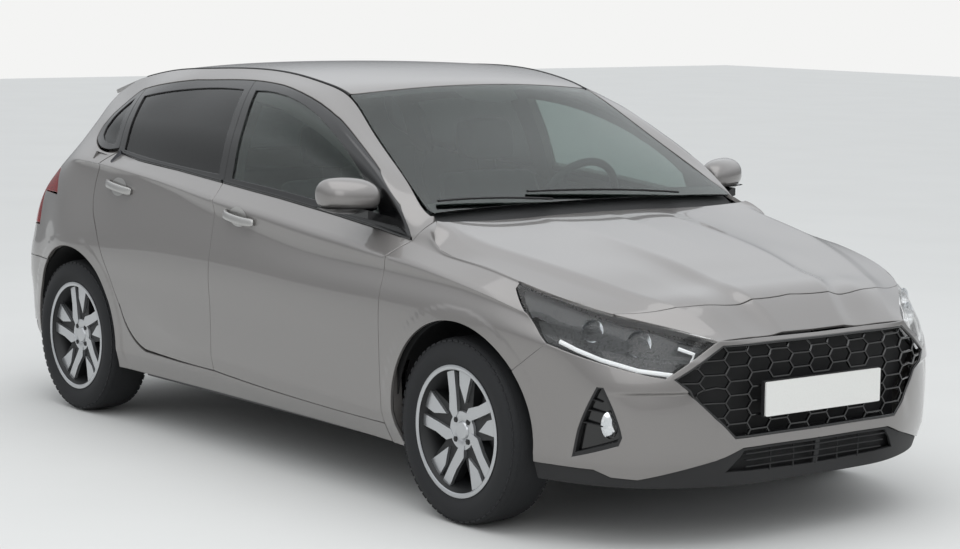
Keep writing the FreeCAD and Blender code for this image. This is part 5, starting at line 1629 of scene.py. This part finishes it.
def build_stage():
    scene = bpy.context.scene
    car = scene.hatchback
    scene.view_settings.view_transform = "Standard"
    world = bpy.data.worlds.new("studio")
    world.use_nodes = True
    scene.world = world
    tree = world.node_tree
    tree.nodes.clear()
    rays = add(tree, "ShaderNodeLightPath")
    seen = add(tree, "ShaderNodeMath", None, {0: rays.outputs["Is Camera Ray"],
                                              1: rays.outputs["Is Transmission Ray"]},
               operation="MAXIMUM")
    place = add(tree, "ShaderNodeTexCoord")
    split = add(tree, "ShaderNodeSeparateXYZ", None, {"Vector": place.outputs["Generated"]})
    sky = add(tree, "ShaderNodeMapRange", {"From Min": 0.02, "From Max": 0.45, "To Min": 0.28,
                                           "To Max": 1.15},
              {"Value": split.outputs["Z"]})
    soft = add(tree, "ShaderNodeBackground", {"Color": linear("#F2F5F8")}, {"Strength": sky.outputs[0]})
    white = add(tree, "ShaderNodeBackground", {"Color": linear("#F4F4F3"), "Strength": 1.0})
    blend = add(tree, "ShaderNodeMixShader", None, {0: seen.outputs[0], 1: soft.outputs[0],
                                                    2: white.outputs[0]})
    add(tree, "ShaderNodeOutputWorld", None, {"Surface": blend.outputs[0]})
    mesh = bpy.data.meshes.new("studio_floor")
    half = FLOOR_HALF
    mesh.from_pydata([(-half, -half, 0), (half, -half, 0), (half, half, 0), (-half, half, 0)], [],
                     [(0, 1, 2, 3)])
    floor = bpy.data.objects.new("studio_floor", mesh)
    scene.collection.objects.link(floor)
    mesh.materials.append(surfaced("floor_paint", car.floor, "#D2D2D0", 900, 0.9))
    for name, place_at, size, power in (("top_softbox", (1.5, -1.0, 5.5), 6.0, 110.0),
                                        ("front_softbox", (6.5, -4.5, 3.6), 4.0, 50.0)):
        lamp = bpy.data.lights.new(name, "AREA")
        lamp.energy = power
        lamp.size = size
        obj = bpy.data.objects.new(name, lamp)
        obj.location = place_at
        look = Vector(LIGHTS_AIM) - Vector(place_at)
        obj.rotation_euler = look.to_track_quat("-Z", "Y").to_euler()
        scene.collection.objects.link(obj)
    camera = bpy.data.cameras.new("camera")
    camera.lens = CAMERA_LENS
    camera.sensor_width = CAMERA_SENSOR
    eye = bpy.data.objects.new("camera", camera)
    azimuth, pitch, roll = (math.radians(turn) for turn in CAMERA_TURN)
    back = Vector((math.sin(azimuth) * math.cos(pitch), -math.cos(azimuth) * math.cos(pitch),
                   math.sin(pitch)))
    right = (-back).cross(Vector((0, 0, 1))).normalized()
    up = right.cross(-back)
    turned = right * math.cos(roll) + up * math.sin(roll)
    upper = up * math.cos(roll) - right * math.sin(roll)
    pose = Matrix((turned, upper, back)).transposed().to_4x4()
    pose.translation = Vector(CAMERA_PLACE)
    eye.matrix_world = pose
    scene.collection.objects.link(eye)
    scene.camera = eye


class HatchbackColours(bpy.types.PropertyGroup):
    """Colours that a user would change, each as an sRGB hex value."""

    paint: bpy.props.StringProperty(name="Paint", description="Body colour", default="#7F7C7A")
    wheel: bpy.props.StringProperty(name="Wheel", description="Lacquer on the wheels' turned faces",
                                    default="#C4C6C8")
    glass: bpy.props.StringProperty(name="Glass", description="Tint of the screen and front panes",
                                    default="#AEBBB7")
    cloth: bpy.props.StringProperty(name="Cloth", description="Seat cloth", default="#3A3B40")
    floor: bpy.props.StringProperty(name="Floor", description="Studio floor", default="#D8D8D6")


class HatchbackSizes(bpy.types.PropertyGroup):
    """Sizes that a user would change."""

    sheet: bpy.props.FloatProperty(name="Panel edge", description="Depth of the rolled edge round each panel",
                                   default=0.010, min=0.004, max=0.02, unit="LENGTH")
    tread: bpy.props.FloatProperty(name="Tread", description="Height of the tyre's tread blocks",
                                   default=0.0034, min=0.001, max=0.0039, unit="LENGTH")
    crown: bpy.props.FloatProperty(name="Seat crown", description="How far a cushion swells at its middle",
                                   default=0.008, min=0.0, max=0.012, unit="LENGTH")


class HATCHBACK_OT_sides(bpy.types.Operator):
    """Makes the side panels with their sills and pillars, and the front fenders."""

    bl_idname = "hatchback.sides"
    bl_label = "Sides and fenders"

    def execute(self, context):
        build_sides()
        return {"FINISHED"}


class HATCHBACK_OT_doors(bpy.types.Operator):
    """Makes the four doors: skins, inner cards, window frames and panes."""

    bl_idname = "hatchback.doors"
    bl_label = "Doors"

    def execute(self, context):
        build_doors()
        return {"FINISHED"}


class HATCHBACK_OT_bonnet(bpy.types.Operator):
    """Makes the creased bonnet and the nose panel under its front edge."""

    bl_idname = "hatchback.bonnet"
    bl_label = "Bonnet"

    def execute(self, context):
        build_bonnet()
        return {"FINISHED"}


class HATCHBACK_OT_front_bumper(bpy.types.Operator):
    """Makes the painted front bumper and the black valance below it."""

    bl_idname = "hatchback.front_bumper"
    bl_label = "Front bumper"

    def execute(self, context):
        build_front_bumper()
        return {"FINISHED"}


class HATCHBACK_OT_rear_bumper(bpy.types.Operator):
    """Makes the rear bumper."""

    bl_idname = "hatchback.rear_bumper"
    bl_label = "Rear bumper"

    def execute(self, context):
        build_rear_bumper()
        return {"FINISHED"}


class HATCHBACK_OT_tailgate(bpy.types.Operator):
    """Makes the tailgate, its pane and the roof spoiler."""

    bl_idname = "hatchback.tailgate"
    bl_label = "Tailgate"

    def execute(self, context):
        build_tailgate()
        return {"FINISHED"}


class HATCHBACK_OT_roof(bpy.types.Operator):
    """Makes the roof skin, its ditch strips and the windscreen."""

    bl_idname = "hatchback.roof"
    bl_label = "Roof and windscreen"

    def execute(self, context):
        build_roof()
        return {"FINISHED"}


class HATCHBACK_OT_quarters(bpy.types.Operator):
    """Makes the small panes behind the rear doors and their black surrounds."""

    bl_idname = "hatchback.quarters"
    bl_label = "Quarter windows"

    def execute(self, context):
        build_quarters()
        return {"FINISHED"}


class HATCHBACK_OT_wheels(bpy.types.Operator):
    """Makes the tyres with their tread, the alloy wheels and the brake discs."""

    bl_idname = "hatchback.wheels"
    bl_label = "Wheels"

    def execute(self, context):
        build_wheels()
        return {"FINISHED"}


class HATCHBACK_OT_grille(bpy.types.Operator):
    """Makes the grille lattice, the lower intake, the plate holder and the blank plate."""

    bl_idname = "hatchback.grille"
    bl_label = "Grille and plate"

    def execute(self, context):
        build_grille()
        return {"FINISHED"}


class HATCHBACK_OT_lamps(bpy.types.Operator):
    """Makes the head, tail and fog lamps."""

    bl_idname = "hatchback.lamps"
    bl_label = "Lamps"

    def execute(self, context):
        build_lamps()
        return {"FINISHED"}


class HATCHBACK_OT_mirrors(bpy.types.Operator):
    """Makes the door mirrors."""

    bl_idname = "hatchback.mirrors"
    bl_label = "Mirrors"

    def execute(self, context):
        build_mirrors()
        return {"FINISHED"}


class HATCHBACK_OT_handles(bpy.types.Operator):
    """Makes the door handles and the cups behind them."""

    bl_idname = "hatchback.handles"
    bl_label = "Door handles"

    def execute(self, context):
        build_handles()
        return {"FINISHED"}


class HATCHBACK_OT_trim(bpy.types.Operator):
    """Makes the belt mouldings, the screen's black edge and the wipers."""

    bl_idname = "hatchback.trim"
    bl_label = "Trim and wipers"

    def execute(self, context):
        build_trim()
        return {"FINISHED"}


class HATCHBACK_OT_seats(bpy.types.Operator):
    """Makes the padded seats and their frames."""

    bl_idname = "hatchback.seats"
    bl_label = "Seats"

    def execute(self, context):
        build_seats()
        return {"FINISHED"}


class HATCHBACK_OT_carried(bpy.types.Operator):
    """Gives the solids that stay visible the finish of the real piece."""

    bl_idname = "hatchback.carried"
    bl_label = "Carried solids"

    def execute(self, context):
        dress_frame()
        return {"FINISHED"}


class HATCHBACK_OT_stage(bpy.types.Operator):
    """Makes the floor, the lights and the camera."""

    bl_idname = "hatchback.stage"
    bl_label = "Stage"

    def execute(self, context):
        build_stage()
        return {"FINISHED"}


OPERATORS = (
    HATCHBACK_OT_sides,
    HATCHBACK_OT_doors,
    HATCHBACK_OT_bonnet,
    HATCHBACK_OT_front_bumper,
    HATCHBACK_OT_rear_bumper,
    HATCHBACK_OT_tailgate,
    HATCHBACK_OT_roof,
    HATCHBACK_OT_quarters,
    HATCHBACK_OT_wheels,
    HATCHBACK_OT_grille,
    HATCHBACK_OT_lamps,
    HATCHBACK_OT_mirrors,
    HATCHBACK_OT_handles,
    HATCHBACK_OT_trim,
    HATCHBACK_OT_seats,
    HATCHBACK_OT_carried,
    HATCHBACK_OT_stage,
)


class HATCHBACK_PT_pieces(bpy.types.Panel):
    """Lists the pieces of the car with their sizes and colours."""

    bl_idname = "HATCHBACK_PT_pieces"
    bl_label = "Hatchback"
    bl_space_type = "VIEW_3D"
    bl_region_type = "UI"
    bl_category = "Hatchback"

    def draw(self, context):
        scene = context.scene
        for group in (scene.hatchback, scene.hatchback_sizes):
            for name in group.__annotations__:
                self.layout.prop(group, name)
        for operator in OPERATORS:
            self.layout.operator(operator.bl_idname)


CLASSES = (HatchbackColours, HatchbackSizes) + OPERATORS + (HATCHBACK_PT_pieces,)


def register():
    for piece in CLASSES:
        bpy.utils.register_class(piece)
    bpy.types.Scene.hatchback = bpy.props.PointerProperty(type=HatchbackColours)
    bpy.types.Scene.hatchback_sizes = bpy.props.PointerProperty(type=HatchbackSizes)


def unregister():
    del bpy.types.Scene.hatchback_sizes
    del bpy.types.Scene.hatchback
    for piece in reversed(CLASSES):
        bpy.utils.unregister_class(piece)


def main():
    register()
    for operator in OPERATORS:
        group, name = operator.bl_idname.split(".")
        getattr(getattr(bpy.ops, group), name)()


if __name__ == "__main__":
    main()
